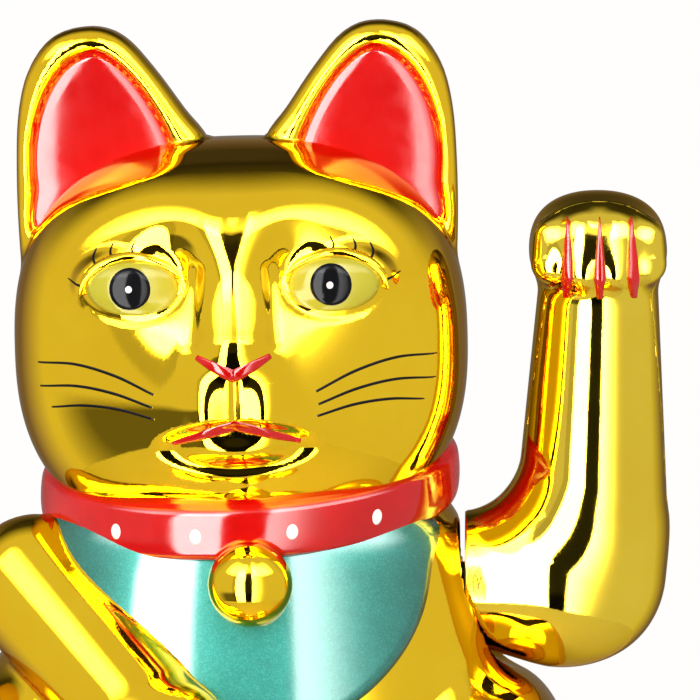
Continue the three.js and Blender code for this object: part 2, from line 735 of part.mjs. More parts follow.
// A self-tapping screw driven upwards, with a cross recess in its head.
function screw([x, y], headBottom, headRadius, length) {
  const recess = [0, Math.PI / 2].map((turn) => {
    const bar = new THREE.BoxGeometry(headRadius * 1.1, 0.5, 1.2);
    bar.rotateZ(turn);
    bar.translate(x, y, headBottom);
    return solid(bar);
  });
  const headHeight = 1;
  return without(
    joined(
      rod([x, y, headBottom], "z", headHeight, headRadius, 16, headRadius * 0.95),
      rod([x, y, headBottom + headHeight - 0.1], "z", length - 1, 1.15, 10),
      rod([x, y, headBottom + headHeight + length - 1.2], "z", 1, 1.15, 10, 0.35),
    ),
    ...recess,
  );
}

// The same screw turned head up, through the bracket's foot into the base plate's top.
function bracketScrew([x, y]) {
  const headBottom = PLATE_THICKNESS + GAP + 1.6 + GAP;
  return joined(
    rod([x, y, headBottom], "z", 1.3, 2.4, 16),
    rod([x, y, PLATE_THICKNESS + GAP], "z", headBottom - PLATE_THICKNESS, 1.1, 10),
  );
}

// ---------- assembly ----------
const figurine = new THREE.Group();
const swing = new THREE.Group();
swing.position.set(0, 0, PIVOT_Z);
figurine.add(swing);

function add(name, body, look, parent = figurine) {
  const mesh = new THREE.Mesh(geometryOf(body), look);
  mesh.name = name;
  parent.add(mesh);
}

const shells = bodyShells();
add("front_body_shell", shells.front, GOLD);
add("rear_body_shell", shells.rear, GOLD);

const arm = armShells();
add("arm_front_shell", arm.front, ARM_GOLD, swing);
add("arm_rear_shell", arm.rear, ARM_GOLD, swing);
add("arm_hub", armHub(), BLACK_PLASTIC, swing);
add("pivot_axle", axle(), STEEL, swing);
add("axle_clip", axleClip(), SPRING_STEEL, swing);
add("pendulum_lever", pendulumLever(), WHITE_PLASTIC, swing);
add("magnet_front", magnet(-1), STEEL, swing);
add("magnet_rear", magnet(1), STEEL, swing);
add("counterweight", counterweight(), STEEL, swing);

add("base_plate", basePlate(), BLACK_PLASTIC);
add("battery_door", batteryDoor(), BLACK_PLASTIC);
add("battery_cell", batteryCell(), CELL_LABEL);
add("battery_spring_contact", springContact(), SPRING_STEEL);
add("battery_plate_contact", plateContact(), SPRING_STEEL);

add("drive_bracket", bracket(), WHITE_PLASTIC);
add("bearing_inner", bearing(BRACKET_POSTS[0], 1), BRASS);
add("bearing_outer", bearing(BRACKET_POSTS[1], -1), BRASS);
add("circuit_board", circuitBoard(), BOARD_GREEN);
add("coil_bobbin", coilBobbin(), WHITE_PLASTIC);
add("coil_winding", coilWinding(), COPPER);
add("drive_chip", driveChip(), BLACK_PLASTIC);
add("capacitor", capacitor(), BLACK_PLASTIC);
add("resistor", resistor(), CERAMIC_TAN);
add("lead_positive", lead(1), RED_PLASTIC);
add("lead_negative", lead(-1), BLACK_PLASTIC);

BASE_SCREWS.forEach((place, i) => {
  add("base_screw_" + (i + 1), screw(place, 0.3, 2.7, 9), STEEL);
});
bracketScrewPlaces().forEach((place, i) => {
  add("bracket_screw_" + (i + 1), bracketScrew(place), STEEL);
});

export default figurine;
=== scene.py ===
"""The looks of a gold-plated waving cat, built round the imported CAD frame.

Forms are signed distance fields in millimetres, in the frame's axes: X to the cat's left, Y back, Z up."""

import json
import math

import bmesh
import bpy
import numpy as np
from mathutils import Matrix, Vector


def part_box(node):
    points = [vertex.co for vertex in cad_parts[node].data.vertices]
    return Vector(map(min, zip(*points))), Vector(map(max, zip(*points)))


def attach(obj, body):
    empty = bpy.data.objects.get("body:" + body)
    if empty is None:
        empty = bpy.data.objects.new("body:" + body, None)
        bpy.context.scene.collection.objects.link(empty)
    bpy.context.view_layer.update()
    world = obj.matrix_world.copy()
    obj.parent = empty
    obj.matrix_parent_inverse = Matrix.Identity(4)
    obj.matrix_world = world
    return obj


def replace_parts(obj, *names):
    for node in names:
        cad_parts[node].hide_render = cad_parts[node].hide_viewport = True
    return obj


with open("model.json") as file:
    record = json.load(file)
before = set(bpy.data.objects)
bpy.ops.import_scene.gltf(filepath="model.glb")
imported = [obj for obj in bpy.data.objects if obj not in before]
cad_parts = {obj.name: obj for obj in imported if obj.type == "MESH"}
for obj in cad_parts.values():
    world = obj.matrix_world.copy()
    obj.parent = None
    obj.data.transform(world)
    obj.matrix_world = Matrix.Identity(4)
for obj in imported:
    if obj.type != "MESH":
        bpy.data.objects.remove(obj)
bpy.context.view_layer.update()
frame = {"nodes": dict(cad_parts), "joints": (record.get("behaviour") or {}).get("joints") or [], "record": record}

MM = 0.001


def box_mm(node):
    return [np.array(corner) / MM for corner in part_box(node)]


# ---------- places taken from the frame ----------
FRONT_LOW, FRONT_HIGH = box_mm("front_body_shell")
REAR_LOW, REAR_HIGH = box_mm("rear_body_shell")
ARM_LOW, ARM_HIGH = box_mm("arm_front_shell")
ARM_REAR_HIGH = box_mm("arm_rear_shell")[1]
JOINTS = {joint["name"]: joint for joint in frame["joints"]}
PIVOT = np.array(JOINTS["arm_swing"]["pos_m"]) / MM

TOP_Z = FRONT_HIGH[2]
SEAM_Y = (FRONT_HIGH[1] + REAR_LOW[1]) / 2
RIM_Z = FRONT_LOW[2]
PIVOT_Z = PIVOT[2]
STUB_X = ARM_LOW[0] + 0.6

SHELL_WALL = 1.5
SEAM_GAP = 0.09  # how far each half stays from the plane of its seam
EDGE_WIDTH, EDGE_DEPTH = 0.7, 0.22  # how a skin's cut edge rolls in
EDGE_TURN = 0.45  # how far the shading turns into the seam at that edge

# ---------- fields: signed distance, in millimetres, at points of shape (n, 3) ----------


def oval(p, centre, radii, power=2.0):
    q = p - np.array(centre, float)
    r = (np.abs(q / np.array(radii, float)) ** power).sum(1) ** (1 / power)
    reach = np.sqrt((q * q).sum(1))
    return np.where(r > 1e-4, reach * (1 - 1 / np.maximum(r, 1e-4)), -min(radii))


def limb(p, start, end, start_radius, end_radius):
    a, b = np.array(start, float), np.array(end, float)
    along = b - a
    t = np.clip(((p - a) @ along) / (along @ along), 0, 1)
    gap = p - (a + t[:, None] * along)
    return np.sqrt((gap * gap).sum(1)) - (start_radius + (end_radius - start_radius) * t)


def squared_gap(x, z, start, end):
    """The squared distance in the front view to a line from start to end."""
    (ax, az), (bx, bz) = start, end
    ex, ez = bx - ax, bz - az
    t = np.clip(((x - ax) * ex + (z - az) * ez) / (ex * ex + ez * ez), 0, 1)
    return (x - ax - t * ex) ** 2 + (z - az - t * ez) ** 2


def outline_distance(x, z, outline):
    """Signed distance to a closed outline of (x, z) points, negative inside."""
    best = np.full(x.shape, 1e9)
    inside = np.zeros(x.shape, bool)
    for start, end in zip(outline, np.roll(outline, -1, 0)):
        best = np.minimum(best, squared_gap(x, z, start, end))
        across, rise = end - start
        crosses = (start[1] > z) != (end[1] > z)
        slope = rise if abs(rise) > 1e-9 else 1e-9
        inside ^= crosses & (x < start[0] + (z - start[1]) * across / slope)
    return np.where(inside, -1, 1) * np.sqrt(best)


def slab(p, outline, mid_y, half_depth, rounding):
    """A plate with the (x, z) outline, its edges rounded."""
    flat = outline_distance(p[:, 0], p[:, 2], outline) + rounding
    deep = np.abs(p[:, 1] - mid_y) - half_depth + rounding
    outer = np.hypot(np.maximum(flat, 0), np.maximum(deep, 0))
    return outer + np.minimum(np.maximum(flat, deep), 0) - rounding


def merged(a, b, softness):
    h = np.clip(0.5 + 0.5 * (b - a) / softness, 0, 1)
    return b + (a - b) * h - softness * h * (1 - h)


def carved(a, b, softness):
    return -merged(-a, b, softness)


def eased(t):
    """A share from 0 to 1 with soft ends."""
    return t * t * (3 - 2 * t)


def on_plus_side(p):
    """Points mirrored onto the +X side."""
    return np.column_stack([p[:, 0] * np.sign(p[:, 0]), p[:, 1:]])


def curve_points(points, count, closed=False):
    """A smooth Catmull-Rom curve through points of any dimension."""
    pts = np.array(points, float)
    n = len(pts)
    spans = n if closed else n - 1
    t = np.linspace(0, spans, count, endpoint=not closed)
    k = np.minimum(t.astype(int), spans - 1)
    u = (t - k)[:, None]
    if closed:
        p0, p1, p2, p3 = (pts[(k + shift) % n] for shift in (-1, 0, 1, 2))
    else:
        ends = np.vstack([2 * pts[0] - pts[1], pts, 2 * pts[-1] - pts[-2]])
        p0, p1, p2, p3 = (ends[k + shift] for shift in range(4))
    return 0.5 * (
        2 * p1 + (p2 - p0) * u + (2 * p0 - 5 * p1 + 4 * p2 - p3) * u**2
        + (3 * p1 - p0 - 3 * p2 + p3) * u**3
    )


# ---------- the head's own frame ----------
NECK, NECK_IN_HEAD = np.array([-0.8, 0, 100.0]), np.array([0, 0, 100.0])
LEAN = math.radians(-1.4)
HEAD_MID = np.array([0.0, -2.0, TOP_Z - 66.0])
HEAD_RADII = (46.7, 40.0, 42.0)
HEAD_POWER = 2.5  # squarer than an ellipsoid
EYE_X, EYE_Z = 20.1, TOP_Z - 51.6


def leaned(p, start, end, lean):
    """Points turned by lean about the Y axis through start, which moves to end."""
    c, s = math.cos(lean), math.sin(lean)
    x, y, z = (p - start).T
    return np.stack([c * x - s * z, y, s * x + c * z], 1) + end


def to_head(p):
    return leaned(p, NECK, NECK_IN_HEAD, LEAN)


def from_head(p):
    return leaned(p, NECK_IN_HEAD, NECK, -LEAN)


EAR_SHAPE = [
    (1.0, 140), (1.6, 162), (5.6, 175.2), (10.5, 182), (16.5, 190.5), (22.5, 197.2), (29, TOP_Z - 0.6),
    (37, 197.6), (42.2, 191.0), (44.6, 182), (45.3, 170), (45.2, 157), (44.4, 147), (42, 138), (20, 138),
]
EAR_OUTLINE = curve_points(EAR_SHAPE, 60, closed=True)
EAR_Y = -2.0
EAR_HALF_DEPTH = 7.5
EAR_FACE_SHAPE = [
    (9.0, 158), (12.0, 172.0), (16.0, 182), (22.0, 190.4), (28.5, 194.6), (35.0, 191.6), (39.6, 184.6),
    (41.8, 176.0), (41.8, 167), (39.6, 156),
]
EAR_FACE = curve_points(EAR_FACE_SHAPE, 64, closed=True)
EAR_DISH_DEPTH = 3.2
EAR_FLOOR_Y = EAR_Y - EAR_HALF_DEPTH + EAR_DISH_DEPTH


def ear_field(q):
    p = on_plus_side(q)
    ear = slab(p, EAR_OUTLINE, EAR_Y, EAR_HALF_DEPTH, rounding=5.0)
    cutter_half = 10
    dish = slab(p, EAR_FACE, EAR_FLOOR_Y - cutter_half, cutter_half, rounding=1.0)
    return carved(ear, dish, 2.6)


# The lists below are (x, z) points on the +X side, in the head's own frame.
NOSE_V = [(7.3, 135.2), (0.0, 131.4)]
MOUTH_V = [(12.8, 117.5), (6.4, 119.5), (0.0, 121.3)]
LID = [(10.8, 150.2), (13.8, 153.0), (20.0, 155.0), (26.0, 153.6), (29.6, 150.6), (30.6, 147.0)]


def path_distance(x, z, points):
    """Distance in the front view to a line through points."""
    return np.sqrt(np.min([squared_gap(x, z, *ends) for ends in zip(points[:-1], points[1:])], axis=0))


def hill(x, z, mid, width):
    """A smooth round hill of height 1 in the front view."""
    return np.exp(-(((x - mid[0]) / width[0]) ** 2) - ((z - mid[1]) / width[1]) ** 2)


def groove(x, z, points, width):
    """A smooth line of height 1 along points in the front view."""
    return np.exp(-((path_distance(x, z, points) / width) ** 2))


TRACK_WEIGHTS = ((-1.65, 0.1), (-0.825, 0.2), (0, 0.4), (0.825, 0.2), (1.65, 0.1))


def smooth_track(z, knots):
    """A value that follows knots (z, value) with rounded corners."""
    heights, values = np.array(knots, float).T
    return sum(weight * np.interp(z + shift, heights, values) for shift, weight in TRACK_WEIGHTS)


EYEBALL = (EYE_X - 0.4, -31.6, EYE_Z), (13.0, 8.2, 8.6)  # middle and radii
EYE_RING = [
    (EYE_X + 10.3 * math.cos(a), EYE_Z + 6.5 * math.sin(a)) for a in np.linspace(0, 2 * math.pi, 25)
]
EYE_RING_DEPTH, EYE_RING_WIDTH = 0.35, 0.85
FACE_START, FACE_FADE = 18, 10  # how far in front of the ears the relief begins, and over what distance
FACE_SHARE = 0.95

# Hills and hollows of the face, on the +X side: height, middle (x, z) and widths (x, z).
MUZZLE = (6.6, (0, 125), (20, 13.2))
PUFFS = (1.8, (6.7, 124.4), (4.0, 7.2))
EYE_SOCKETS = (-2.6, (16.5, 150.5), (11.5, 7.0))
INNER_CORNERS = (-2.3, (11.8, 152.0), (4.8, 6.2))
BROW = (2.4, (4, 163.5), (17, 8.6))
LOWER_LIP = (2.6, (0, 115.2), (10, 3.3))
CHIN = (1.8, (0, 105.5), (12, 4.5))
# The nose ridge from the upper lip to the forehead, as (z, value) knots.
RIDGE_HEIGHT = [
    (126, 0.0), (130.0, 0.5), (132.0, 1.9), (136.0, 5.3), (138.0, 5.9), (141, 5.0), (146, 3.9),
    (152, 3.0), (158, 2.1), (165, 1.0), (174, 0.0),
]
RIDGE_WIDTH = [(128, 7.4), (134, 7.2), (140, 6.6), (145, 6.4), (150, 6.8), (156, 8.4), (163, 10)]
RIDGE_POWER = 2.8  # flatter on top than a round hill
FLUTE = [(7.0, 152.0), (8.0, 145.0), (8.4, 138.0)]  # the groove beside the nose
PHILTRUM = [(0, 130.4), (0, 123.0)]
GROOVE_DEPTH, FLUTE_WIDTH, PHILTRUM_WIDTH = 0.6, 1.4, 0.7
MOUTH_Z = 116.6
MOUTH_RADII = (15.5, 5.6)
MOUTH_DEPTH, MOUTH_RIM, MOUTH_SLOPE = 1.9, 1.14, 0.42  # the last two in shares of the radii


def mouth_hollow(x, z):
    """A lens-shaped hollow of depth 1 between the lips."""
    out = np.hypot(x / MOUTH_RADII[0], (z - MOUTH_Z) / MOUTH_RADII[1])
    return eased(np.clip((MOUTH_RIM - out) / MOUTH_SLOPE, 0, 1))


def face_relief(x, z):
    """How far the face stands out of the skull, x on the +X side."""
    relief = smooth_track(z, RIDGE_HEIGHT) * np.exp(-((x / smooth_track(z, RIDGE_WIDTH)) ** RIDGE_POWER))
    for height, middle, widths in (MUZZLE, PUFFS, EYE_SOCKETS, INNER_CORNERS, BROW, LOWER_LIP, CHIN):
        relief += height * hill(x, z, middle, widths)
    relief -= GROOVE_DEPTH * groove(x, z, FLUTE, FLUTE_WIDTH)
    relief -= GROOVE_DEPTH * groove(x, z, PHILTRUM, PHILTRUM_WIDTH)
    return relief - MOUTH_DEPTH * mouth_hollow(x, z)


def face_field(q, skull):
    """The raised and sunk forms of the face, on the skull."""
    m = on_plus_side(q)
    x, z = m[:, 0], m[:, 2]
    facing = eased(np.clip((-q[:, 1] - FACE_START) / FACE_FADE, 0, 1))
    f = skull - face_relief(x, z) * facing * FACE_SHARE
    f = merged(f, oval(m, *EYEBALL), 1.5)
    return f + EYE_RING_DEPTH * facing * groove(x, z, EYE_RING, EYE_RING_WIDTH)


FACE_BACK_Y = -17.0  # no part of the face lies behind this
EARS_LOW_Z = 148.0  # no part of the ears shows below this


def head_field(p):
    q = to_head(p)
    f = oval(q, HEAD_MID, HEAD_RADII, HEAD_POWER)
    near = q[:, 1] < FACE_BACK_Y
    if near.any():
        f[near] = face_field(q[near], f[near])
    high = q[:, 2] > EARS_LOW_Z
    if high.any():
        f[high] = merged(f[high], ear_field(q[high]), 0.8)
    return f


# ---------- the body's field ----------
TORSO_SECTIONS = np.array([  # height, half width and half depth
    [-12, 50, 40], [RIM_Z, 52, 41], [14, 55, 44], [38, 55, 44], [60, 53, 42], [76, 49.5, 39],
    [88, 46.5, 36.5], [98, 44, 34], [104, 39, 31], [110, 30, 25],
])
TORSO_POWER = 2.4
TORSO_TOP_Z, TORSO_TOP_ROUNDING = 106, 6.0
SMOOTHING = 5  # rows either side that a section is averaged over
SECTION_HEIGHTS = np.linspace(-12, 110, 80)


def soft_sections(column):
    rough = np.interp(SECTION_HEIGHTS, TORSO_SECTIONS[:, 0], TORSO_SECTIONS[:, column])
    window = 2 * SMOOTHING + 1
    return np.convolve(np.pad(rough, SMOOTHING, "edge"), np.ones(window) / window, "valid")


HALF_WIDTHS, HALF_DEPTHS = soft_sections(1), soft_sections(2)


def torso_field(p):
    width = np.interp(p[:, 2], SECTION_HEIGHTS, HALF_WIDTHS)
    depth = np.interp(p[:, 2], SECTION_HEIGHTS, HALF_DEPTHS)
    sides = (np.abs(p[:, 0] / width) ** TORSO_POWER + np.abs(p[:, 1] / depth) ** TORSO_POWER)
    r = sides ** (1 / TORSO_POWER)
    reach = np.hypot(p[:, 0], p[:, 1])
    f = np.where(r > 1e-4, reach * (1 - 1 / np.maximum(r, 1e-4)), -20)
    return carved(f, TORSO_TOP_Z - p[:, 2], TORSO_TOP_ROUNDING)


HAUNCH = (45, -5, 35), (22.5, 35, 32), 2.8  # middle, radii and power
FOOT = (31, -45, 10.5), (15, 19, 10.8), 2.3


def legs_field(p):
    m = on_plus_side(p)
    return merged(oval(m, *HAUNCH), oval(m, *FOOT), 5.0)


RESTING_ARM = (-43.5, -14, 84.5), (-17.5, -43.5, 59.5), 14.6, 12  # ends and their radii
RESTING_PAW = (-15, -46.5, 56.5)
RESTING_PAW_RADII = (13, 10, 12.5)
TOE_PITCH = 6.2
CLEFT_RADIUS = 0.9


def resting_arm_field(p):
    arm = limb(p, *RESTING_ARM)
    paw = oval(p, RESTING_PAW, RESTING_PAW_RADII, 2.3)
    for step in (-1, 0, 1):
        top = np.add(RESTING_PAW, (TOE_PITCH * step, -10.4, 4))
        end = np.add(RESTING_PAW, (TOE_PITCH * step, -9.0, -10))
        paw = carved(paw, limb(p, top, end, CLEFT_RADIUS, CLEFT_RADIUS), 1.2)
    return merged(arm, paw, 3.0)


COIN_TILT = math.radians(-14)
COIN_MID = (-3, -47, 26)
COIN_RADII = (14.5, 21)
COIN_HALF_DEPTH = 4
COIN_RIM_INSET, COIN_RIM_HALF, COIN_RIM_HEIGHT = 2.0, 0.6, 0.7


def coin_field(p):
    q = p - np.array(COIN_MID)
    c, s = math.cos(COIN_TILT), math.sin(COIN_TILT)
    x, z = c * q[:, 0] + s * q[:, 2], -s * q[:, 0] + c * q[:, 2]
    r = np.hypot(x / COIN_RADII[0], z / COIN_RADII[1])
    flat = np.hypot(x, z) * (1 - 1 / np.maximum(r, 1e-4))
    face = np.abs(q[:, 1]) - COIN_HALF_DEPTH
    rim = np.abs(flat + COIN_RIM_INSET) - COIN_RIM_HALF
    raised = np.maximum(np.maximum(rim, face - COIN_RIM_HEIGHT), flat)
    return merged(np.maximum(flat, face), raised, 0.6)


TAIL_BEND = (27, 38, 12)
TAIL_ROOT, TAIL_TIP = ((6, 41, 12), TAIL_BEND, 7, 7), (TAIL_BEND, (38, 30, 26), 7, 5.5)
POCKET_RADIUS = 15.7
POCKET_FLOOR_X = STUB_X - 1.0
POCKET_FLARE_X, POCKET_FLARE = 47.0, 0.3  # where the pocket starts to widen, and how fast
AXLE_HOLE_RADIUS = 5.0


def pocket_field(p):
    """The round pocket in the shoulder that the waving arm's stub turns in."""
    reach = POCKET_RADIUS + POCKET_FLARE * np.clip(p[:, 0] - POCKET_FLARE_X, 0, 20)
    return np.maximum(np.hypot(p[:, 1], p[:, 2] - PIVOT_Z) - reach, POCKET_FLOOR_X - p[:, 0])


def body_field(p):
    f = merged(torso_field(p), legs_field(p), 5.0)
    f = merged(f, resting_arm_field(p), 2.0)
    f = merged(f, np.minimum(limb(p, *TAIL_ROOT), limb(p, *TAIL_TIP)), 2.5)
    f = merged(f, coin_field(p), 0.8)
    return carved(f, pocket_field(p), 0.7)


HEAD_FROM_Z, BODY_TO_Z = 84, 114  # the two fields are merged between these heights


def figure_field(p):
    f = np.full(len(p), 1e3)
    low, high = p[:, 2] < BODY_TO_Z, p[:, 2] > HEAD_FROM_Z
    f[low] = body_field(p[low])
    head = head_field(p[high])
    f[high] = np.where(low[high], merged(f[high], head, 1.5), head)
    return f


# ---------- the waving arm's field ----------
# Limbs are (start, end, start radius, end radius), ovals (middle, radii, power).
STUB = (STUB_X - 2, 0, PIVOT_Z), (62, 0, PIVOT_Z - 0.4), 14.0, 16.2
ELBOW = (66.8, 0, PIVOT_Z + 2.8), (19.6, 16.4, 20.6), 2.1
FOREARM = (70.8, 0, PIVOT_Z + 14), (72.0, -0.5, PIVOT_Z + 62), 15.8, 12.3
PAW_MID = np.array([71.8, -4.0, 152.8])
PAW = PAW_MID, (14.2, 12.6, 11.2), 2.1
PAW_BACK = PAW_MID + [0, 4.6, 2.4], (13.6, 9.4, 9.7), 2.2
FINGER_PITCH = 6.8
FINGER_RADII = (4.0, 4.5)
FINGER_CLEFT, SOFT_CLEFT = 1.5, 3.4  # how softly the fingers melt into the paw


def finger_field(p, step):
    """One finger, step pitches to the side of the paw's middle."""
    spread = step * step
    x = PAW_MID[0] + step * FINGER_PITCH - 0.35 * step * abs(step)
    y = PAW_MID[1] - 8.4 + spread
    return limb(p, (x, y + 1.4, 157.4 - 0.7 * spread), (x, y, 149.6 + 0.5 * spread), *FINGER_RADII)


def arm_field(p, cleft=FINGER_CLEFT):
    f = merged(merged(limb(p, *STUB), oval(p, *ELBOW), 5.0), limb(p, *FOREARM), 5.0)
    paw = merged(oval(p, *PAW), oval(p, *PAW_BACK), 2.0)
    for step in (-1.5, -0.5, 0.5, 1.5):
        paw = merged(paw, finger_field(p, step), cleft)
    return merged(f, paw, 2.6)


def soft_arm_field(p):
    """The arm with shallow clefts, for the painted strokes to lie on."""
    return arm_field(p, SOFT_CLEFT)


# ---------- surfaces from fields ----------
def slopes(field, p, eps=0.04):
    """The field's gradient by four tetrahedral samples."""
    corners = np.array([[1, -1, -1], [-1, -1, 1], [-1, 1, -1], [1, 1, 1]], float)
    return sum(field(p + eps * c)[:, None] * c for c in corners) / (4 * eps)


def settled(field, p, rounds=3, reach=0.6):
    """Points moved along the slope onto the field's zero surface."""
    for _ in range(rounds):
        g = slopes(field, p)
        step = (field(p) / np.maximum((g * g).sum(1), 0.05))[:, None] * g
        size = np.linalg.norm(step, axis=1)[:, None]
        p = p - step * np.minimum(1, reach / np.maximum(size, 1e-9))
    return p


COARSE = 4  # fine cells along the side of a coarse one
NEAR = 1.35  # coarse cells from the surface within which the fine ones are sampled
CHUNK = 400_000  # points sampled at a time


def field_surface(field, low, high, step):
    """Vertices and quads of the zero surface inside a box, one vertex to each crossed cell."""
    blocks = np.ceil((np.array(high) - low) / (step * COARSE)).astype(int)
    axes = [low[i] + (np.arange(blocks[i]) + 0.5) * step * COARSE for i in range(3)]
    middles = np.stack(np.meshgrid(*axes, indexing="ij"), -1)
    rough = field(middles.reshape(-1, 3)).reshape(blocks)
    block = np.ones((COARSE,) * 3)
    values = np.kron(rough, block)
    at = np.argwhere(np.kron(np.abs(rough) < step * COARSE * NEAR, block))
    points = np.array(low) + at * step
    found = [field(points[i : i + CHUNK]) for i in range(0, len(points), CHUNK)]
    values[tuple(at.T)] = np.concatenate(found)
    inside = values < 0
    shape = np.array(inside.shape)
    mixed = np.zeros(shape - 1, bool)
    first = inside[:-1, :-1, :-1]
    for x, y, z in np.ndindex(2, 2, 2):
        mixed |= inside[x : x + shape[0] - 1, y : y + shape[1] - 1, z : z + shape[2] - 1] != first
    cells = np.argwhere(mixed)
    total = np.zeros((len(cells), 3))
    count = np.zeros(len(cells))
    unit = np.eye(3, dtype=int)
    for axis in range(3):
        for a, b in np.ndindex(2, 2):
            start = cells + a * unit[axis - 2] + b * unit[axis - 1]
            f0, f1 = values[tuple(start.T)], values[tuple((start + unit[axis]).T)]
            hit = (f0 < 0) != (f1 < 0)
            t = np.where(hit, f0 / np.where(hit, f0 - f1, 1), 0)
            total[hit] += (start + t[:, None] * unit[axis])[hit]
            count[hit] += 1
    verts = np.array(low) + (total / count[:, None]) * step
    number = np.full(values.shape, -1)
    number[tuple(cells.T)] = np.arange(len(cells))
    quads = []
    for axis in range(3):
        u, v = unit[axis - 2], unit[axis - 1]
        edge = np.argwhere(np.diff(inside, axis=axis))
        edge = edge[(edge @ u > 0) & (edge @ v > 0)]
        around = (edge, edge - u, edge - u - v, edge - v)
        quad = np.stack([number[tuple(cell.T)] for cell in around], 1)
        inward = ~inside[tuple(edge.T)]
        quad[inward] = quad[inward][:, ::-1]
        quads.append(quad[(quad >= 0).all(1)])
    return settled(field, verts), np.concatenate(quads)


def split_quads(verts, quads, chosen, field):
    """Splits the chosen quads in four and fits the neighbours to them with extra corners."""
    fine, rest = quads[chosen], quads[~chosen]
    sides = np.stack([fine, np.roll(fine, -1, 1)], -1).reshape(-1, 2)
    sides.sort(1)
    unique, which = np.unique(sides, axis=0, return_inverse=True)
    which = which.reshape(-1, 4)
    n = len(verts)
    mids = n + which
    centres = n + len(unique) + np.arange(len(fine))
    added = np.vstack([verts[unique].mean(1), verts[fine].mean(1)])
    verts = np.vstack([verts, settled(field, added, 2)])
    parts = [np.stack([fine[:, i], mids[:, i], centres, mids[:, i - 1]], 1) for i in range(4)]
    middle = {tuple(pair): n + i for i, pair in enumerate(unique)}
    touched = np.isin(rest, np.unique(unique)).sum(1) > 1
    fitted = []
    for corners in rest[touched].tolist():
        loop = []
        for a, b in zip(corners, corners[1:] + corners[:1]):
            loop.append(a)
            mid = middle.get((min(a, b), max(a, b)))
            if mid is not None:
                loop.append(mid)
        fitted.append(loop)
    return verts, np.vstack([rest[~touched], *parts]).tolist() + fitted


# ---------- meshes ----------
def new_object(name, mesh, look, body="figurine"):
    piece = bpy.data.objects.new(name, mesh)
    bpy.context.scene.collection.objects.link(piece)
    mesh.materials.append(look)
    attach(piece, body)
    return piece


def mesh_from(name, verts_mm, faces):
    mesh = bpy.data.meshes.new(name)
    mesh.from_pydata((np.asarray(verts_mm) * MM).tolist(), [], [list(map(int, f)) for f in faces])
    mesh.validate()
    mesh.shade_smooth()
    return mesh


def closed_mesh(name, verts_mm, faces):
    """A smooth mesh with all its faces turned outwards."""
    bm = bmesh.new()
    verts = [bm.verts.new(v * MM) for v in verts_mm]
    for face in faces:
        bm.faces.new([verts[i] for i in face])
    bmesh.ops.recalc_face_normals(bm, faces=bm.faces[:])
    mesh = bpy.data.meshes.new(name)
    bm.to_mesh(mesh)
    bm.free()
    mesh.shade_smooth()
    return mesh


def tube_faces(rings, count, closed=False):
    """Faces between rings of count points each, the last ring joined to the first if closed."""
    return [
        [a * count + i, a * count + (i + 1) % count, b * count + (i + 1) % count, b * count + i]
        for a, b in [(k, (k + 1) % rings) for k in range(rings if closed else rings - 1)]
        for i in range(count)
    ]


def closed_faces(faces, rim, n):
    """Faces of a sheet, of the same sheet n points further on, and of the sides between their rims."""
    under = [[i + n for i in reversed(face)] for face in faces]
    return faces + under + [[b, a, a + n, b + n] for a, b in rim]


def cut_skin(verts, polygons, cuts):
    """A skin cut at planes: its points, faces and open edges."""
    bm = bmesh.new()
    used = sorted({corner for polygon in polygons for corner in polygon})
    made = {i: bm.verts.new(verts[i]) for i in used}
    for polygon in polygons:
        bm.faces.new([made[i] for i in polygon])
    for point, normal in cuts:
        back = [c - EDGE_WIDTH * n for c, n in zip(point, normal)]
        for place, drop in ((back, False), (point, True)):
            bmesh.ops.bisect_plane(
                bm, geom=bm.verts[:] + bm.edges[:] + bm.faces[:], dist=1e-5, plane_co=place,
                plane_no=normal, clear_outer=drop,
            )
    bm.verts.index_update()
    outer = np.array([v.co[:] for v in bm.verts])
    faces = [[v.index for v in f.verts] for f in bm.faces]
    rims = [
        [loop.vert.index, loop.link_loop_next.vert.index]
        for e in bm.edges if e.is_boundary for loop in e.link_loops
    ]
    bm.free()
    return outer, faces, rims


def set_corner_normals(mesh, point_normals, flat_from):
    """Shades by the given normal of each point, and flat from the face number flat_from on."""
    loop_vert = np.zeros(len(mesh.loops), int)
    mesh.loops.foreach_get("vertex_index", loop_vert)
    corner_normals = point_normals[loop_vert]
    for face in mesh.polygons[flat_from:]:
        corner_normals[face.loop_indices] = face.normal
    mesh.normals_split_custom_set(corner_normals.tolist())


def shell_half(name, verts, polygons, field, cuts):
    """Cuts a skin at planes, gives it a wall's thickness and closes its edges.

    cuts are (point, normal) pairs in millimetres, and the side the normal points to is dropped."""
    outer, faces, rims = cut_skin(verts, polygons, cuts)
    normal = slopes(field, outer)
    normal /= np.maximum(np.linalg.norm(normal, axis=1), 1e-9)[:, None]
    inner = outer - normal * SHELL_WALL
    shading = normal.copy()
    for point, cut_normal in cuts:
        cut_normal = np.array(cut_normal, float)
        on_plane = np.abs((outer - np.array(point)) @ cut_normal) < 1e-3
        outer[on_plane] -= (normal * EDGE_DEPTH)[on_plane]
        for ring in (outer, inner):
            drift = ((ring - np.array(point)) @ cut_normal)[:, None] * cut_normal
            ring[on_plane] -= drift[on_plane]
        tilted = normal + EDGE_TURN * cut_normal
        tilted /= np.linalg.norm(tilted, axis=1)[:, None]
        shading[on_plane] = tilted[on_plane]
    mesh = mesh_from(name, np.vstack([outer, inner]), closed_faces(faces, rims, len(outer)))
    set_corner_normals(mesh, np.vstack([shading, -normal]), flat_from=2 * len(faces))
    return mesh


# ---------- materials ----------
def node_material(name):
    look = bpy.data.materials.new(name)
    look.use_nodes = True
    tree = look.node_tree
    shader = tree.nodes["Principled BSDF"]
    return look, tree, shader


def set_values(node, values):
    for name, value in values.items():
        node.inputs[name].default_value = value


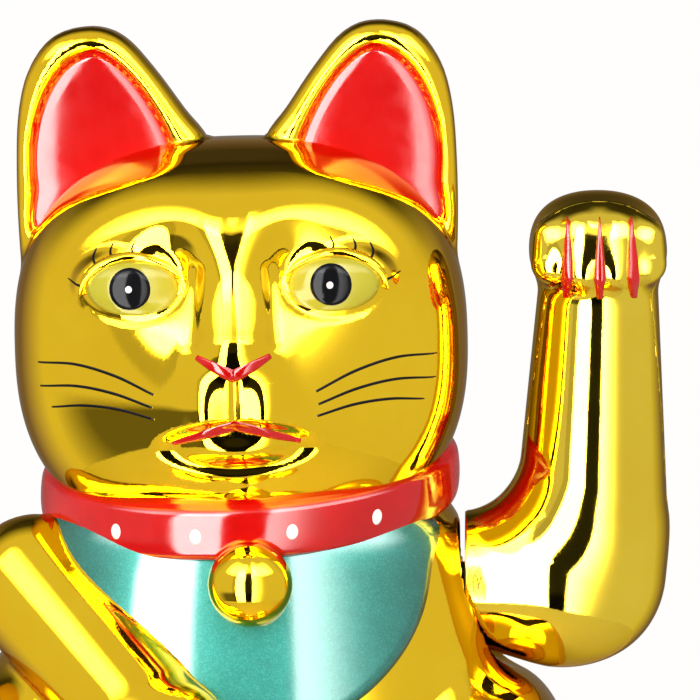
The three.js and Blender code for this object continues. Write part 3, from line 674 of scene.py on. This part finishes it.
def texture(tree, kind, values):
    """A texture's outputs, laid in the object's own frame."""
    where = tree.nodes.new("ShaderNodeTexCoord")
    node = tree.nodes.new(kind)
    set_values(node, values)
    tree.links.new(where.outputs["Object"], node.inputs["Vector"])
    return node.outputs


def noise(tree, scale, detail):
    return texture(tree, "ShaderNodeTexNoise", {"Scale": scale, "Detail": detail})["Fac"]


def remap(tree, value, low, high, out_low, out_high):
    node = tree.nodes.new("ShaderNodeMapRange")
    set_values(node, {"From Min": low, "From Max": high, "To Min": out_low, "To Max": out_high})
    tree.links.new(value, node.inputs["Value"])
    return node.outputs["Result"]


def mixed_colour(tree, factor, first, second):
    """A mix of two colours, each a tuple or a socket."""
    node = tree.nodes.new("ShaderNodeMix")
    node.data_type = "RGBA"
    for name, colour in (("A", first), ("B", second)):
        if isinstance(colour, tuple):
            node.inputs[name].default_value = (*colour, 1)
        else:
            tree.links.new(colour, node.inputs[name])
    tree.links.new(factor, node.inputs["Factor"])
    return node.outputs["Result"]


def tones(tree, shader, scale, detail, first, second, reach=(0.3, 0.7)):
    """Slow changes between two colours."""
    tone = remap(tree, noise(tree, scale, detail), *reach, 0, 1)
    tree.links.new(mixed_colour(tree, tone, first, second), shader.inputs["Base Color"])


def haze(tree, shader, scale, detail, low, high, reach=(0.3, 0.7)):
    """Slow changes of roughness."""
    tree.links.new(remap(tree, noise(tree, scale, detail), *reach, low, high), shader.inputs["Roughness"])


def bump(tree, shader, height, strength, distance):
    node = tree.nodes.new("ShaderNodeBump")
    set_values(node, {"Strength": strength, "Distance": distance})
    tree.links.new(height, node.inputs["Height"])
    tree.links.new(node.outputs["Normal"], shader.inputs["Normal"])


EDGE_GOLD = (0.80, 0.50, 0.05)  # the metal film's tint where it is seen edge on


def metallised(name, colour, deep):
    """Vacuum-metallised plastic: a mirror with a very fine orange peel and faint tone changes."""
    look, tree, shader = node_material(name)
    tones(tree, shader, 55, 3, colour, deep, (0.35, 0.65))
    haze(tree, shader, 140, 4, 0.035, 0.075, (0.35, 0.7))
    set_values(shader, {
        "Metallic": 1.0, "Specular Tint": (*EDGE_GOLD, 1),
        "Coat Weight": 0.38, "Coat IOR": 1.4, "Coat Roughness": 0.03,
    })
    bump(tree, shader, noise(tree, 1400, 2), 0.06, 0.0001)
    return look


def lacquer(name, colour, deep, roughness=0.09, coat=0.2, peel=0.12, shine=0.5):
    """A glossy paint film with slow tone changes and a little orange peel."""
    look, tree, shader = node_material(name)
    tones(tree, shader, 80, 3, colour, deep)
    haze(tree, shader, 300, 3, roughness * 0.7, roughness * 1.4)
    set_values(shader, {"Coat Weight": coat, "Coat Roughness": 0.04, "Specular IOR Level": shine})
    bump(tree, shader, noise(tree, 420, 2), peel, 0.0001)
    return look


def pearl(name, colour, deep, flake):
    """Metallic flake paint: bright flakes in a coloured base."""
    look, tree, shader = node_material(name)
    flakes = texture(tree, "ShaderNodeTexVoronoi", {"Scale": 5200})
    split = tree.nodes.new("ShaderNodeSeparateColor")
    tree.links.new(flakes["Color"], split.inputs["Color"])
    tone = remap(tree, noise(tree, 260, 3), 0.3, 0.7, 0, 1)
    sparkle = remap(tree, split.outputs["Red"], 0.5, 0.95, 0, 0.5)
    base = mixed_colour(tree, sparkle, mixed_colour(tree, tone, colour, deep), flake)
    tree.links.new(base, shader.inputs["Base Color"])
    set_values(shader, {"Metallic": 0.6, "Coat Weight": 0.9, "Coat IOR": 1.6, "Coat Roughness": 0.09})
    tree.links.new(remap(tree, split.outputs["Green"], 0, 1, 0.3, 0.45), shader.inputs["Roughness"])
    bump(tree, shader, split.outputs["Blue"], 0.25, 0.00006)
    return look


def moulded(name, colour, roughness=0.42, grain=900, metallic=0.0):
    """Plain moulded plastic or worked metal with a fine surface grain."""
    look, tree, shader = node_material(name)
    shader.inputs["Metallic"].default_value = metallic
    tones(tree, shader, 120, 4, colour, tuple(c * 0.88 for c in colour))
    haze(tree, shader, 350, 3, roughness * 0.85, roughness * 1.2)
    bump(tree, shader, noise(tree, grain, 3), 0.25, 0.0001)
    return look


GOLD = metallised("gold_metallised", (0.92, 0.60, 0.012), (0.89, 0.56, 0.008))
ARM_GOLD = metallised("arm_gold_metallised", (0.84, 0.61, 0.040), (0.82, 0.57, 0.032))
RED = lacquer("red_lacquer", (0.52, 0.005, 0.004), (0.40, 0.003, 0.003), coat=0.15, shine=0.35)
CORAL = lacquer(
    "coral_lacquer", (0.50, 0.009, 0.009), (0.45, 0.006, 0.007), roughness=0.12, coat=0.25, shine=0.3,
)
CREAM = lacquer(
    "cream_lacquer", (0.46, 0.41, 0.035), (0.42, 0.37, 0.03), roughness=0.14, coat=0.03, peel=0.05,
    shine=0.16,
)
BLACK = lacquer(
    "black_lacquer", (0.008, 0.008, 0.010), (0.005, 0.005, 0.006), coat=0.05, peel=0.3, shine=0.05,
)
WHITE = lacquer("white_lacquer", (0.86, 0.86, 0.87), (0.78, 0.78, 0.80), roughness=0.25)
TEAL = pearl("teal_pearl", (0.004, 0.135, 0.108), (0.003, 0.118, 0.095), (0.03, 0.24, 0.20))
CAD_FINISHES = {  # colour, roughness, grain and metal
    "black_plastic": ((0.022, 0.022, 0.024),),
    "white_plastic": ((0.78, 0.77, 0.71),),
    "steel": ((0.56, 0.57, 0.59), 0.3, 1500, 1.0),
    "spring_steel": ((0.66, 0.67, 0.69), 0.2, 1500, 1.0),
    "brass": ((0.72, 0.50, 0.18), 0.3, 1500, 1.0),
    "copper": ((0.62, 0.24, 0.10), 0.35, 2500, 1.0),
    "board_green": ((0.02, 0.17, 0.06), 0.4),
    "cell_wrap": ((0.04, 0.09, 0.33), 0.25, 600, 0.3),
    "resistor_body": ((0.55, 0.43, 0.24), 0.5),
    "red_insulation": ((0.5, 0.02, 0.015), 0.4),
    "black_insulation": ((0.015, 0.015, 0.015), 0.4),
}
CAD_LOOKS = {name: moulded(name, *finish) for name, finish in CAD_FINISHES.items()}
for part in frame["record"]["subparts"]:
    look = CAD_LOOKS.get(part["material_slot"])
    if look:
        node = frame["nodes"][part["node"]]
        node.data.materials.clear()
        node.data.materials.append(look)


# ---------- paint and small raised pieces ----------
def closed_piece(name, top, bottom, faces, rim, look, body="figurine"):
    """A thin closed piece from a top sheet, the same sheet underneath, and a rim."""
    all_faces = closed_faces(faces, zip(rim, rim[1:] + rim[:1]), len(top))
    new_object(name, closed_mesh(name, np.vstack([top, bottom]), all_faces), look, body)


PRESS_START_Y = -80.0  # well in front of the cat
PRESS_ROUNDS, PRESS_SHARE = 70, 0.6


def pressed(field, to_world, xz):
    """Points of a front view set on the field's surface, with their normals."""
    p = to_world(np.stack([xz[:, 0], np.full(len(xz), PRESS_START_Y), xz[:, 1]], 1))
    for _ in range(PRESS_ROUNDS):
        p[:, 1] += np.clip(field(p) * PRESS_SHARE, -1.0, 2.5)
    normal = slopes(field, p)
    normal /= np.linalg.norm(normal, axis=1)[:, None]
    return p, normal


def as_is(p):
    return p.copy()


def fan_faces(rings, count):
    """Faces of a disc of rings round a centre point, and the indices of its rim."""
    faces = [[0, 1 + i, 1 + (i + 1) % count] for i in range(count)]
    faces += [[1 + corner for corner in face] for face in tube_faces(rings, count)]
    return faces, [1 + (rings - 1) * count + i for i in range(count)]


def ringed(outline, middle, rings, spread=1.0):
    """Points of a disc of rings inside an outline, and how far out each lies, from 0 to 1."""
    shares = np.arange(1, rings + 1) / rings
    flat = [middle] + [middle + (outline - middle) * t * spread for t in shares]
    return np.vstack(flat), np.concatenate([[0.0], np.repeat(shares, len(outline))])


def painted_disc(name, outline, look, field=figure_field, to_world=from_head, lift=0.1, crown=0.1,
                 rings=8, tuck=0.25):
    """A patch of paint with a closed outline, a little thicker in the middle."""
    flat, share = ringed(outline, outline.mean(0), rings)
    p, normal = pressed(field, to_world, flat)
    height = lift + crown * (1 - share**4)
    height[-len(outline):] = 0.0
    faces, rim = fan_faces(rings, len(outline))
    top = p + normal * height[:, None]
    closed_piece(name, top, p - normal * tuck, faces, rim, look)


def stroke_sheet(path, widths, across=7):
    """Grid points along a path in the front view, and each point's share of the half width."""
    ahead = np.gradient(path, axis=0)
    ahead /= np.linalg.norm(ahead, axis=1)[:, None]
    side = np.stack([-ahead[:, 1], ahead[:, 0]], 1)
    shares = np.linspace(-1, 1, across)
    grid = path[:, None] + side[:, None] * (shares[None, :, None] * np.array(widths)[:, None, None])
    return grid.reshape(-1, 2), np.tile(shares, len(path))


def grid_faces(rows, across):
    faces = [
        [r * across + c, r * across + c + 1, (r + 1) * across + c + 1, (r + 1) * across + c]
        for r in range(rows - 1) for c in range(across - 1)
    ]
    last = (rows - 1) * across
    rim = list(range(across)) + [r * across + across - 1 for r in range(1, rows)]
    rim += [last + c for c in range(across - 2, -1, -1)] + [r * across for r in range(rows - 2, 0, -1)]
    return faces, rim


def painted_stroke(name, points, widths, look, body="figurine", field=figure_field, to_world=from_head,
                   thick=0.3, count=24, tuck=0.2, across=7, smooth=True):
    """A stroke of paint along a curve, or a line with corners, rounded across its width."""
    path = curve_points(points, count) if smooth else straight_points(points, count)
    along = np.linspace(0, 1, count)
    half = np.interp(along, np.linspace(0, 1, len(widths)), widths)
    flat, share = stroke_sheet(path, half, across)
    p, normal = pressed(field, to_world, flat)
    height = thick * np.sqrt(np.maximum(1 - share**2, 0))
    faces, rim = grid_faces(count, across)
    closed_piece(name, p + normal * height[:, None], p - normal * tuck, faces, rim, look, body)


def straight_points(points, count):
    """Evenly spaced points along straight lines."""
    pts = np.array(points, float)
    gone = np.concatenate([[0], np.cumsum(np.linalg.norm(np.diff(pts, axis=0), axis=1))])
    at = np.linspace(0, gone[-1], count)
    return np.stack([np.interp(at, gone, pts[:, i]) for i in range(pts.shape[1])], 1)


def oval_outline(centre, half_width, half_height, power=2.0, count=56):
    a = np.linspace(0, 2 * np.pi, count, endpoint=False)
    c, s = np.cos(a), np.sin(a)
    r = (np.abs(c) ** power + np.abs(s) ** power) ** (-1 / power)
    return np.stack([centre[0] + half_width * c * r, centre[1] + half_height * s * r], 1)


def both_sides(points):
    """A shape drawn on +X, from its outer end to the middle, and on over to -X."""
    points = list(points)
    return points + [(-x, z) for x, z in reversed(points[:-1])]


LASHES = [
    [(33.4, 150.2), (31.5, 149.2), (29.9, 148.9)],
    [(27.5, 156.3), (28.1, 154.4), (27.0, 152.3)],
    [(24.0, 157.5), (24.6, 155.7), (23.8, 153.7)],
    [(19.5, 157.9), (20.2, 156.2), (19.5, 154.3)],
]
WHISKERS = [
    [(40.3, 133.0), (32.4, 133.2), (24.2, 131.2), (16.2, 127.6)],
    [(40.0, 128.2), (32.2, 128.8), (24.4, 127.6), (16.6, 125.0)],
    [(37.6, 124.1), (30.8, 124.9), (23.6, 124.4), (16.3, 122.6)],
]
# Half widths along each stroke.
LID_WIDTHS, LASH_WIDTHS = [0.1, 0.55, 0.75, 0.75, 0.6, 0.1], [0.14, 0.26, 0.28]
WHISKER_WIDTHS = [0.20, 0.29, 0.31, 0.26]
NOSE_WIDTHS, MOUTH_WIDTHS = [0.6, 1.1, 1.3, 1.1, 0.6], [0.5, 0.95, 1.1, 0.95, 0.5]
FINGER_WIDTHS, TOE_WIDTHS = [0.15, 0.6, 0.95, 1.1, 0.6], [0.2, 0.6, 0.8, 0.3]
EYE_HALF = (9.2, 5.4)
IRIS_RADIUS, GLINT_RADIUS = 4.45, 0.85
GAZE = -0.5  # both irises look a little to -X
GLINT_SHIFT = -0.2  # the white dot's place in the iris


def face_pieces():
    for side, tag in ((1, "left"), (-1, "right")):
        def turned_to(points, side=side):
            return [(side * x, z) for x, z in points]
        eye = oval_outline((side * EYE_X, EYE_Z), *EYE_HALF, 2.15)
        painted_disc("eye_white_" + tag, eye, CREAM, lift=0.12, crown=0.3)
        iris = oval_outline((side * EYE_X + GAZE, EYE_Z), IRIS_RADIUS, IRIS_RADIUS)
        painted_disc("iris_" + tag, iris, BLACK, lift=0.5, crown=0.22, tuck=-0.1)
        dot_mid = (side * EYE_X + GAZE + GLINT_SHIFT, EYE_Z)
        dot = oval_outline(dot_mid, GLINT_RADIUS, GLINT_RADIUS, count=28)
        painted_disc("eye_dot_" + tag, dot, WHITE, lift=0.75, crown=0.1, rings=4, tuck=-0.5)
        painted_stroke("lid_" + tag, turned_to(LID), LID_WIDTHS, GOLD, thick=0.75, count=48, across=9)
        for i, lash in enumerate(LASHES):
            name = "lash_%s_%d" % (tag, i + 1)
            painted_stroke(name, turned_to(lash), LASH_WIDTHS, BLACK, thick=0.2, count=12, across=5)
        for i, whisker in enumerate(WHISKERS):
            name = "whisker_%s_%d" % (tag, i + 1)
            painted_stroke(name, turned_to(whisker), WHISKER_WIDTHS, BLACK, thick=0.1, count=40, across=5)
    painted_stroke("nose_line", both_sides(NOSE_V), NOSE_WIDTHS, RED, count=41, smooth=False)
    painted_stroke("mouth_line", both_sides(MOUTH_V), MOUTH_WIDTHS, RED, count=61, smooth=False)


EAR_FACE_MID = (27.0, 172.0)
EAR_FACE_SPREAD = 1.012  # the panel's edge goes a little under the dish's wall
EAR_FACE_BULGE = 0.9
EAR_FACE_LIFT, EAR_FACE_RIM_LIFT, EAR_FACE_TUCK = 0.55, 0.15, 0.25


def ear_pieces():
    """The painted ear faces: slightly domed glossy panels that sink into the dish's edge and the crown."""
    rings = 10
    for side, tag in ((1, "left"), (-1, "right")):
        outline = EAR_FACE * np.array([side, 1.0])
        flat, share = ringed(outline, np.array(EAR_FACE_MID) * [side, 1], rings, EAR_FACE_SPREAD)
        bulge = EAR_FACE_LIFT + EAR_FACE_BULGE * (1 - share**2.5)
        bulge[-len(outline):] = EAR_FACE_RIM_LIFT
        top = np.stack([flat[:, 0], EAR_FLOOR_Y - bulge, flat[:, 1]], 1)
        under = top.copy()
        under[:, 1] = EAR_FLOOR_Y + EAR_FACE_TUCK
        faces, rim = fan_faces(rings, len(outline))
        closed_piece("ear_face_" + tag, from_head(top), from_head(under), faces, rim, CORAL)


# ---------- collar, bell and bib ----------
COLLAR_Z = 104.6
COLLAR_RADII = (43.0, 38.0)
COLLAR_DIP, COLLAR_ROLL = math.radians(9.3), math.radians(3.2)
COLLAR_SECTION = [
    (-6.0, -5.0), (-1.6, -5.3), (-0.7, -5.1), (-0.15, -4.5), (0.25, -3.2), (0.45, -1.2), (0.42, 1.2),
    (0.2, 3.3), (-0.1, 4.3), (-0.55, 4.9), (-1.3, 5.6), (-2.6, 7.0), (-3.4, 7.6), (-4.4, 7.8),
    (-6.0, 7.4), (-7.0, 2.0),
]
DOT_ANGLES = (-37.0, -13.0, 13.0, 38.0)
DOT_HALF = (1.3, 1.6)
DOT_DROP = 0.2  # the dots sit this much below the band's middle
DOT_LIFT, DOT_CROWN, DOT_RIM_LIFT, DOT_UNDER = 0.5, 0.16, 0.4, 0.1


def collar_place(angle, out, up):
    """World points of the collar at an angle from the front, an offset outwards and a height."""
    x = (COLLAR_RADII[0] + out) * np.sin(angle)
    y = -(COLLAR_RADII[1] + out) * np.cos(angle)
    z = np.asarray(up, float) * np.ones_like(x)
    z = z + math.tan(COLLAR_DIP) * y + math.tan(COLLAR_ROLL) * x
    return np.stack([x, y, z + COLLAR_Z], -1)


def collar_band():
    section = curve_points(COLLAR_SECTION, 64, closed=True)
    angles = np.linspace(0, 2 * np.pi, 180, endpoint=False)
    a, k = np.meshgrid(angles, np.arange(len(section)), indexing="ij")
    verts = collar_place(a, section[k, 0], section[k, 1]).reshape(-1, 3)
    mesh = closed_mesh("collar_band", verts, tube_faces(len(angles), len(section), closed=True))
    new_object("collar_band", mesh, RED)


def collar_dots():
    rings, around = 4, 24
    spots, share = ringed(oval_outline((0, 0), *DOT_HALF, count=around), np.zeros(2), rings)
    along, up = spots.T
    height = np.where(share < 1, DOT_LIFT + DOT_CROWN * (1 - share**3), DOT_RIM_LIFT)
    faces, rim = fan_faces(rings, around)
    for i, degrees in enumerate(DOT_ANGLES):
        angle = math.radians(degrees) + along / COLLAR_RADII[0]
        top = collar_place(angle, height, up - DOT_DROP)
        under = collar_place(angle, DOT_UNDER, up - DOT_DROP)
        closed_piece("collar_dot_%d" % (i + 1), top, under, faces, rim, WHITE)


BELL_RADIUS = 8.5
BELL_MID = collar_place(np.array([0.0]), 0, 0)[0] + np.array([1.4, -3.4, -9.6])
BELL_TOP = 0.985  # the ball's top is closed a little low


def bell_piece():
    """The bell: a plain ball, turned about its upright axis."""
    around = 72
    rises = np.radians(np.linspace(-90, 80, 46))[1:]
    turns = np.linspace(0, 2 * np.pi, around, endpoint=False)
    rise, turn = np.meshgrid(rises, turns, indexing="ij")
    ball = np.stack([np.cos(rise) * np.cos(turn), np.cos(rise) * np.sin(turn), np.sin(rise)], -1)
    verts = BELL_MID + BELL_RADIUS * np.vstack([[0, 0, -1], ball.reshape(-1, 3), [0, 0, BELL_TOP]])
    faces, rim = fan_faces(len(rises), around)
    faces += [[a, b, len(verts) - 1] for a, b in zip(rim, rim[1:] + rim[:1])]
    new_object("bell", closed_mesh("bell", verts, faces), GOLD)


BIB_SHAPE = [
    (-40.5, 99), (-40.5, 93), (-30, 82), (-15, 66), (-2, 61.5), (10, 60.5), (21, 63.5), (30, 71),
    (35.6, 80), (37.8, 90), (38, 99), (20, 102), (0, 102), (-20, 102),
]


def bib_piece():
    painted_disc(
        "bib", curve_points(BIB_SHAPE, 150, closed=True), TEAL, field=torso_field, to_world=as_is,
        lift=0.55, crown=0.1, rings=22, tuck=0.5,
    )


# The painted strokes in the clefts of the two paws: their ends' places from the paws' middles.
FINGER_STROKES = ((-6.5, -6.7), (0.0, 0.1), (6.5, 7.3))
FINGER_STROKE_HEIGHTS = (160.4, 152.0, 143.8)


def stroke_pieces():
    for i, (top_x, low_x) in enumerate(FINGER_STROKES):
        places = PAW_MID[0] + np.array([top_x, (top_x + low_x) / 2, low_x])
        painted_stroke(
            "finger_stroke_%d" % (i + 1), list(zip(places, FINGER_STROKE_HEIGHTS)), FINGER_WIDTHS, RED,
            body="waving_arm", field=soft_arm_field, to_world=as_is, count=36, across=9, tuck=1.2,
        )
        x, z = RESTING_PAW[0] + TOE_PITCH * (i - 1), RESTING_PAW[2]
        path = [(x, z + 5), (x, z - 1), (x, z - 8)]
        painted_stroke("toe_stroke_%d" % (i + 1), path, TOE_WIDTHS, RED, to_world=as_is, across=9)


# ---------- the gold skins ----------
SKIN_STEP, ARM_STEP = 1.3, 0.9  # cell sizes
BOX_MARGIN = 3.0
ARM_SPLIT_LEAN = 0.11  # how far the arm's split plane leans towards the fingers
# The part of the face whose cells are halved, in the head's own frame.
FINE_HALF_WIDTH, FINE_FRONT_Y, FINE_LOW_Z, FINE_HIGH_Z = 35, -24, 106, 161


def with_axle_hole(verts, quads):
    """Opens the pocket's floor round the axle, with the hole's edge on a circle."""
    pivot = np.array([0, PIVOT_Z])
    out = np.linalg.norm(verts[:, 1:] - pivot, axis=1)
    inside = (np.abs(verts[:, 0] - POCKET_FLOOR_X) < 0.5) & (out < AXLE_HOLE_RADIUS)
    dropped = inside[quads].any(1)
    edge = np.intersect1d(quads[dropped], quads[~dropped])
    verts[edge, 1:] = pivot + (verts[edge, 1:] - pivot) * (AXLE_HOLE_RADIUS / out[edge])[:, None]
    return verts, quads[~dropped]


def add_halves(halves, field, verts, polygons, step, end_cut, seam_mid, lean, look, body):
    """The front and rear skins either side of a seam plane, each in its CAD shell's place."""
    across = np.array([0, 1, lean]) / math.hypot(1, lean)
    for (name, node), towards in zip(halves, (1, -1)):
        keep = (verts - seam_mid) @ across * towards < step
        near = [polygon for polygon in polygons if keep[polygon].any()]
        seam_cut = (seam_mid - towards * SEAM_GAP * across, towards * across)
        mesh = shell_half(name, verts, near, field, [end_cut, seam_cut])
        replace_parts(new_object(name, mesh, look, body), node)


def figure_skins():
    low = np.minimum(FRONT_LOW, REAR_LOW) - BOX_MARGIN
    high = np.maximum(FRONT_HIGH, REAR_HIGH) + BOX_MARGIN
    low[2] = RIM_Z - 8  # the forms go on below the rim, where the skins are cut
    verts, quads = with_axle_hole(*field_surface(figure_field, low, high, SKIN_STEP))
    x, y, z = to_head(verts[quads].mean(1)).T
    fine = (np.abs(x) < FINE_HALF_WIDTH) & (y < FINE_FRONT_Y) & (z > FINE_LOW_Z) & (z < FINE_HIGH_Z)
    verts, polygons = split_quads(verts, quads, fine, figure_field)
    add_halves(
        [("front_skin", "front_body_shell"), ("rear_skin", "rear_body_shell")], figure_field, verts, polygons,
        SKIN_STEP, ((0, 0, RIM_Z), (0, 0, -1)), np.array([0, SEAM_Y, 0]), 0, GOLD, "figurine",
    )


def arm_skins():
    low = ARM_LOW - BOX_MARGIN
    high = np.maximum(ARM_HIGH, ARM_REAR_HIGH) + BOX_MARGIN
    verts, quads = field_surface(arm_field, low, high, ARM_STEP)
    add_halves(
        [("arm_front_skin", "arm_front_shell"), ("arm_rear_skin", "arm_rear_shell")], arm_field, verts,
        quads.tolist(), ARM_STEP, ((STUB_X, 0, 0), (-1, 0, 0)), np.array([0, 0, PIVOT_Z]), ARM_SPLIT_LEAN,
        ARM_GOLD, "waving_arm",
    )


figure_skins()
arm_skins()
face_pieces()
ear_pieces()
collar_band()
collar_dots()
bell_piece()
bib_piece()
stroke_pieces()

# ---------- studio ----------
CAMERA_AZIMUTH = math.radians(1.0)
CAMERA_ELEVATION = math.radians(6)
CAMERA_DISTANCE = 1.15
PICTURE_WIDTH = 0.1449  # metres across the picture at the aim point
SENSOR_WIDTH = 36
AIM = Vector((0.0207, 0.0, 0.1317))


def make_camera():
    data = bpy.data.cameras.new("camera")
    camera = bpy.data.objects.new("camera", data)
    bpy.context.scene.collection.objects.link(camera)
    towards = Vector((
        math.sin(CAMERA_AZIMUTH) * math.cos(CAMERA_ELEVATION),
        -math.cos(CAMERA_AZIMUTH) * math.cos(CAMERA_ELEVATION),
        math.sin(CAMERA_ELEVATION),
    ))
    camera.location = AIM + towards * CAMERA_DISTANCE
    camera.rotation_euler = (-towards).to_track_quat("-Z", "Y").to_euler()
    data.sensor_width = SENSOR_WIDTH
    data.lens = SENSOR_WIDTH * CAMERA_DISTANCE / PICTURE_WIDTH
    bpy.context.scene.camera = camera


FLOOR_RADIUS = 150.0


def make_floor():
    turns = np.linspace(0, 2 * math.pi, 96, endpoint=False)
    ring = FLOOR_RADIUS * np.stack([np.cos(turns), np.sin(turns), 0 * turns], 1)
    mesh = mesh_from("floor", ring, [range(len(ring))])
    floor = bpy.data.objects.new("floor", mesh)
    bpy.context.scene.collection.objects.link(floor)
    look, tree, shader = node_material("floor_pale")
    tones(tree, shader, 6, 2, (0.66, 0.66, 0.65), (0.64, 0.64, 0.63))
    shader.inputs["Roughness"].default_value = 0.7
    mesh.materials.append(look)


# The studio that the gold mirrors, in degrees: azimuths from the front towards +X, heights from the
# horizon, turns from straight ahead. A band is (low, its edge's half width, high, its edge's half width).
LEFT_AZIMUTHS, LEFT_HEIGHTS, LEFT_LIGHT = (-38, 1.5, -13, 1.0), (-50, 6, 40, 6), 15.0
RIGHT_EDGE, RIGHT_FADE, RIGHT_HEIGHTS, RIGHT_LIGHT = (7, 9), 15, (-50, 6, 62, 10), 9.0
TOP_HEIGHTS, TOP_END, TOP_LIGHT = (29, 3, 56, 8), (62, 84), 8.0
TOP_PART_AZIMUTHS, TOP_PART_SHARE = (-10, 3, 7, 3), 0.92
GAP_AZIMUTHS, GAP_TOP, GAP_SHARE = (-13, 1.0, 8, 1.0), (36, 42), 0.97
BORDER_AZIMUTHS, BORDER_TOP, BORDER_SHARE = (-48, 1.0, -38, 1.0), (50, 60), 0.28
ROOM_TURN, ROOM_FRONT, ROOM_BACK = (108, 146), 0.78, 0.22
BACK_TURN, BACK_HEIGHTS, BACK_SHARE = (97, 122), (12, 40), 0.9
UNDER_DEPTHS, UNDER_TURN, UNDER_AZIMUTHS, UNDER_SHARE = (12, 19), (75, 100), (14, 40), 0.8
PANEL_BASE, PANEL_IN_GLOSS = 0.25, 1.2  # how much of a panel every ray sees, and mirrors on top


class Dial:
    """A value in the world's node tree, for ordinary arithmetic."""

    def __init__(self, tree, socket):
        self.tree, self.socket = tree, socket

    def math(self, operation, *others):
        node = self.tree.nodes.new("ShaderNodeMath")
        node.operation = operation
        for place, value in enumerate((self, *others)):
            if isinstance(value, Dial):
                self.tree.links.new(value.socket, node.inputs[place])
            else:
                node.inputs[place].default_value = value
        return Dial(self.tree, node.outputs[0])

    def __add__(self, other):
        return self.math("ADD", other)

    def __mul__(self, other):
        return self.math("MULTIPLY", other)

    def rest(self):
        """One less this value."""
        return (self * -1) + 1

    def step(self, low, high):
        """Rises from 0 at low to 1 at high."""
        return Dial(self.tree, remap(self.tree, self.socket, low, high, 0, 1))

    def band(self, low, low_edge, high, high_edge):
        rise = self.step(low - low_edge, low + low_edge)
        return rise * self.step(high - high_edge, high + high_edge).rest()


def panel_light(azimuth, height, from_front):
    """The bright panels to the left, to the right and above."""
    left = azimuth.band(*LEFT_AZIMUTHS) * height.band(*LEFT_HEIGHTS)
    past = (azimuth + -RIGHT_EDGE[1]) * (1 / RIGHT_FADE)
    falling = (past * past * -1).math("EXPONENT")
    right = azimuth.step(*RIGHT_EDGE) * falling * height.band(*RIGHT_HEIGHTS)
    top = height.band(*TOP_HEIGHTS) * from_front.step(*TOP_END).rest()
    top = top * (azimuth.band(*TOP_PART_AZIMUTHS) * TOP_PART_SHARE).rest()
    return left * LEFT_LIGHT + right * RIGHT_LIGHT + top * TOP_LIGHT


def room_light(azimuth, height, from_front):
    """The soft light of the room, dim behind and over the back, and dark under the front."""
    tree = from_front.tree
    room = Dial(tree, remap(tree, from_front.socket, *ROOM_TURN, ROOM_FRONT, ROOM_BACK))
    over_back = from_front.step(*BACK_TURN) * height.step(*BACK_HEIGHTS)
    under = (height * -1).step(*UNDER_DEPTHS) * from_front.step(*UNDER_TURN).rest()
    under = under * azimuth.step(*UNDER_AZIMUTHS).rest()
    return room * (over_back * BACK_SHARE).rest() * (under * UNDER_SHARE).rest()


def make_world():
    """Tall panels either side of a dark gap in front, a wide one above, and a dim room behind."""
    world = bpy.data.worlds.new("studio")
    bpy.context.scene.world = world
    world.use_nodes = True
    tree = world.node_tree
    background = tree.nodes["Background"]
    where = tree.nodes.new("ShaderNodeTexCoord")
    parts = tree.nodes.new("ShaderNodeSeparateXYZ")
    tree.links.new(where.outputs["Generated"], parts.inputs[0])
    x, y, z = (Dial(tree, socket) for socket in parts.outputs)
    degrees = 180 / math.pi
    azimuth = x.math("ARCTAN2", y * -1) * degrees
    height = z.math("ARCSINE") * degrees
    from_front = (y * -1).math("ARCCOSINE") * degrees

    gap = azimuth.band(*GAP_AZIMUTHS) * height.step(*GAP_TOP).rest() * GAP_SHARE
    border = azimuth.band(*BORDER_AZIMUTHS) * height.step(*BORDER_TOP).rest() * BORDER_SHARE
    path = tree.nodes.new("ShaderNodeLightPath")
    in_gloss = Dial(tree, path.outputs["Is Glossy Ray"])
    seen = Dial(tree, path.outputs["Is Camera Ray"])
    panels = panel_light(azimuth, height, from_front) * (in_gloss * PANEL_IN_GLOSS + PANEL_BASE)
    lit = (room_light(azimuth, height, from_front) + panels) * gap.math("MAXIMUM", border).rest()
    shown = lit * seen.rest() + seen  # plain white behind the cat
    tree.links.new(shown.socket, background.inputs["Strength"])
    background.inputs["Color"].default_value = (1.0, 0.99, 0.975, 1)


make_camera()
make_floor()
make_world()
bpy.context.scene.view_settings.view_transform = "Standard"
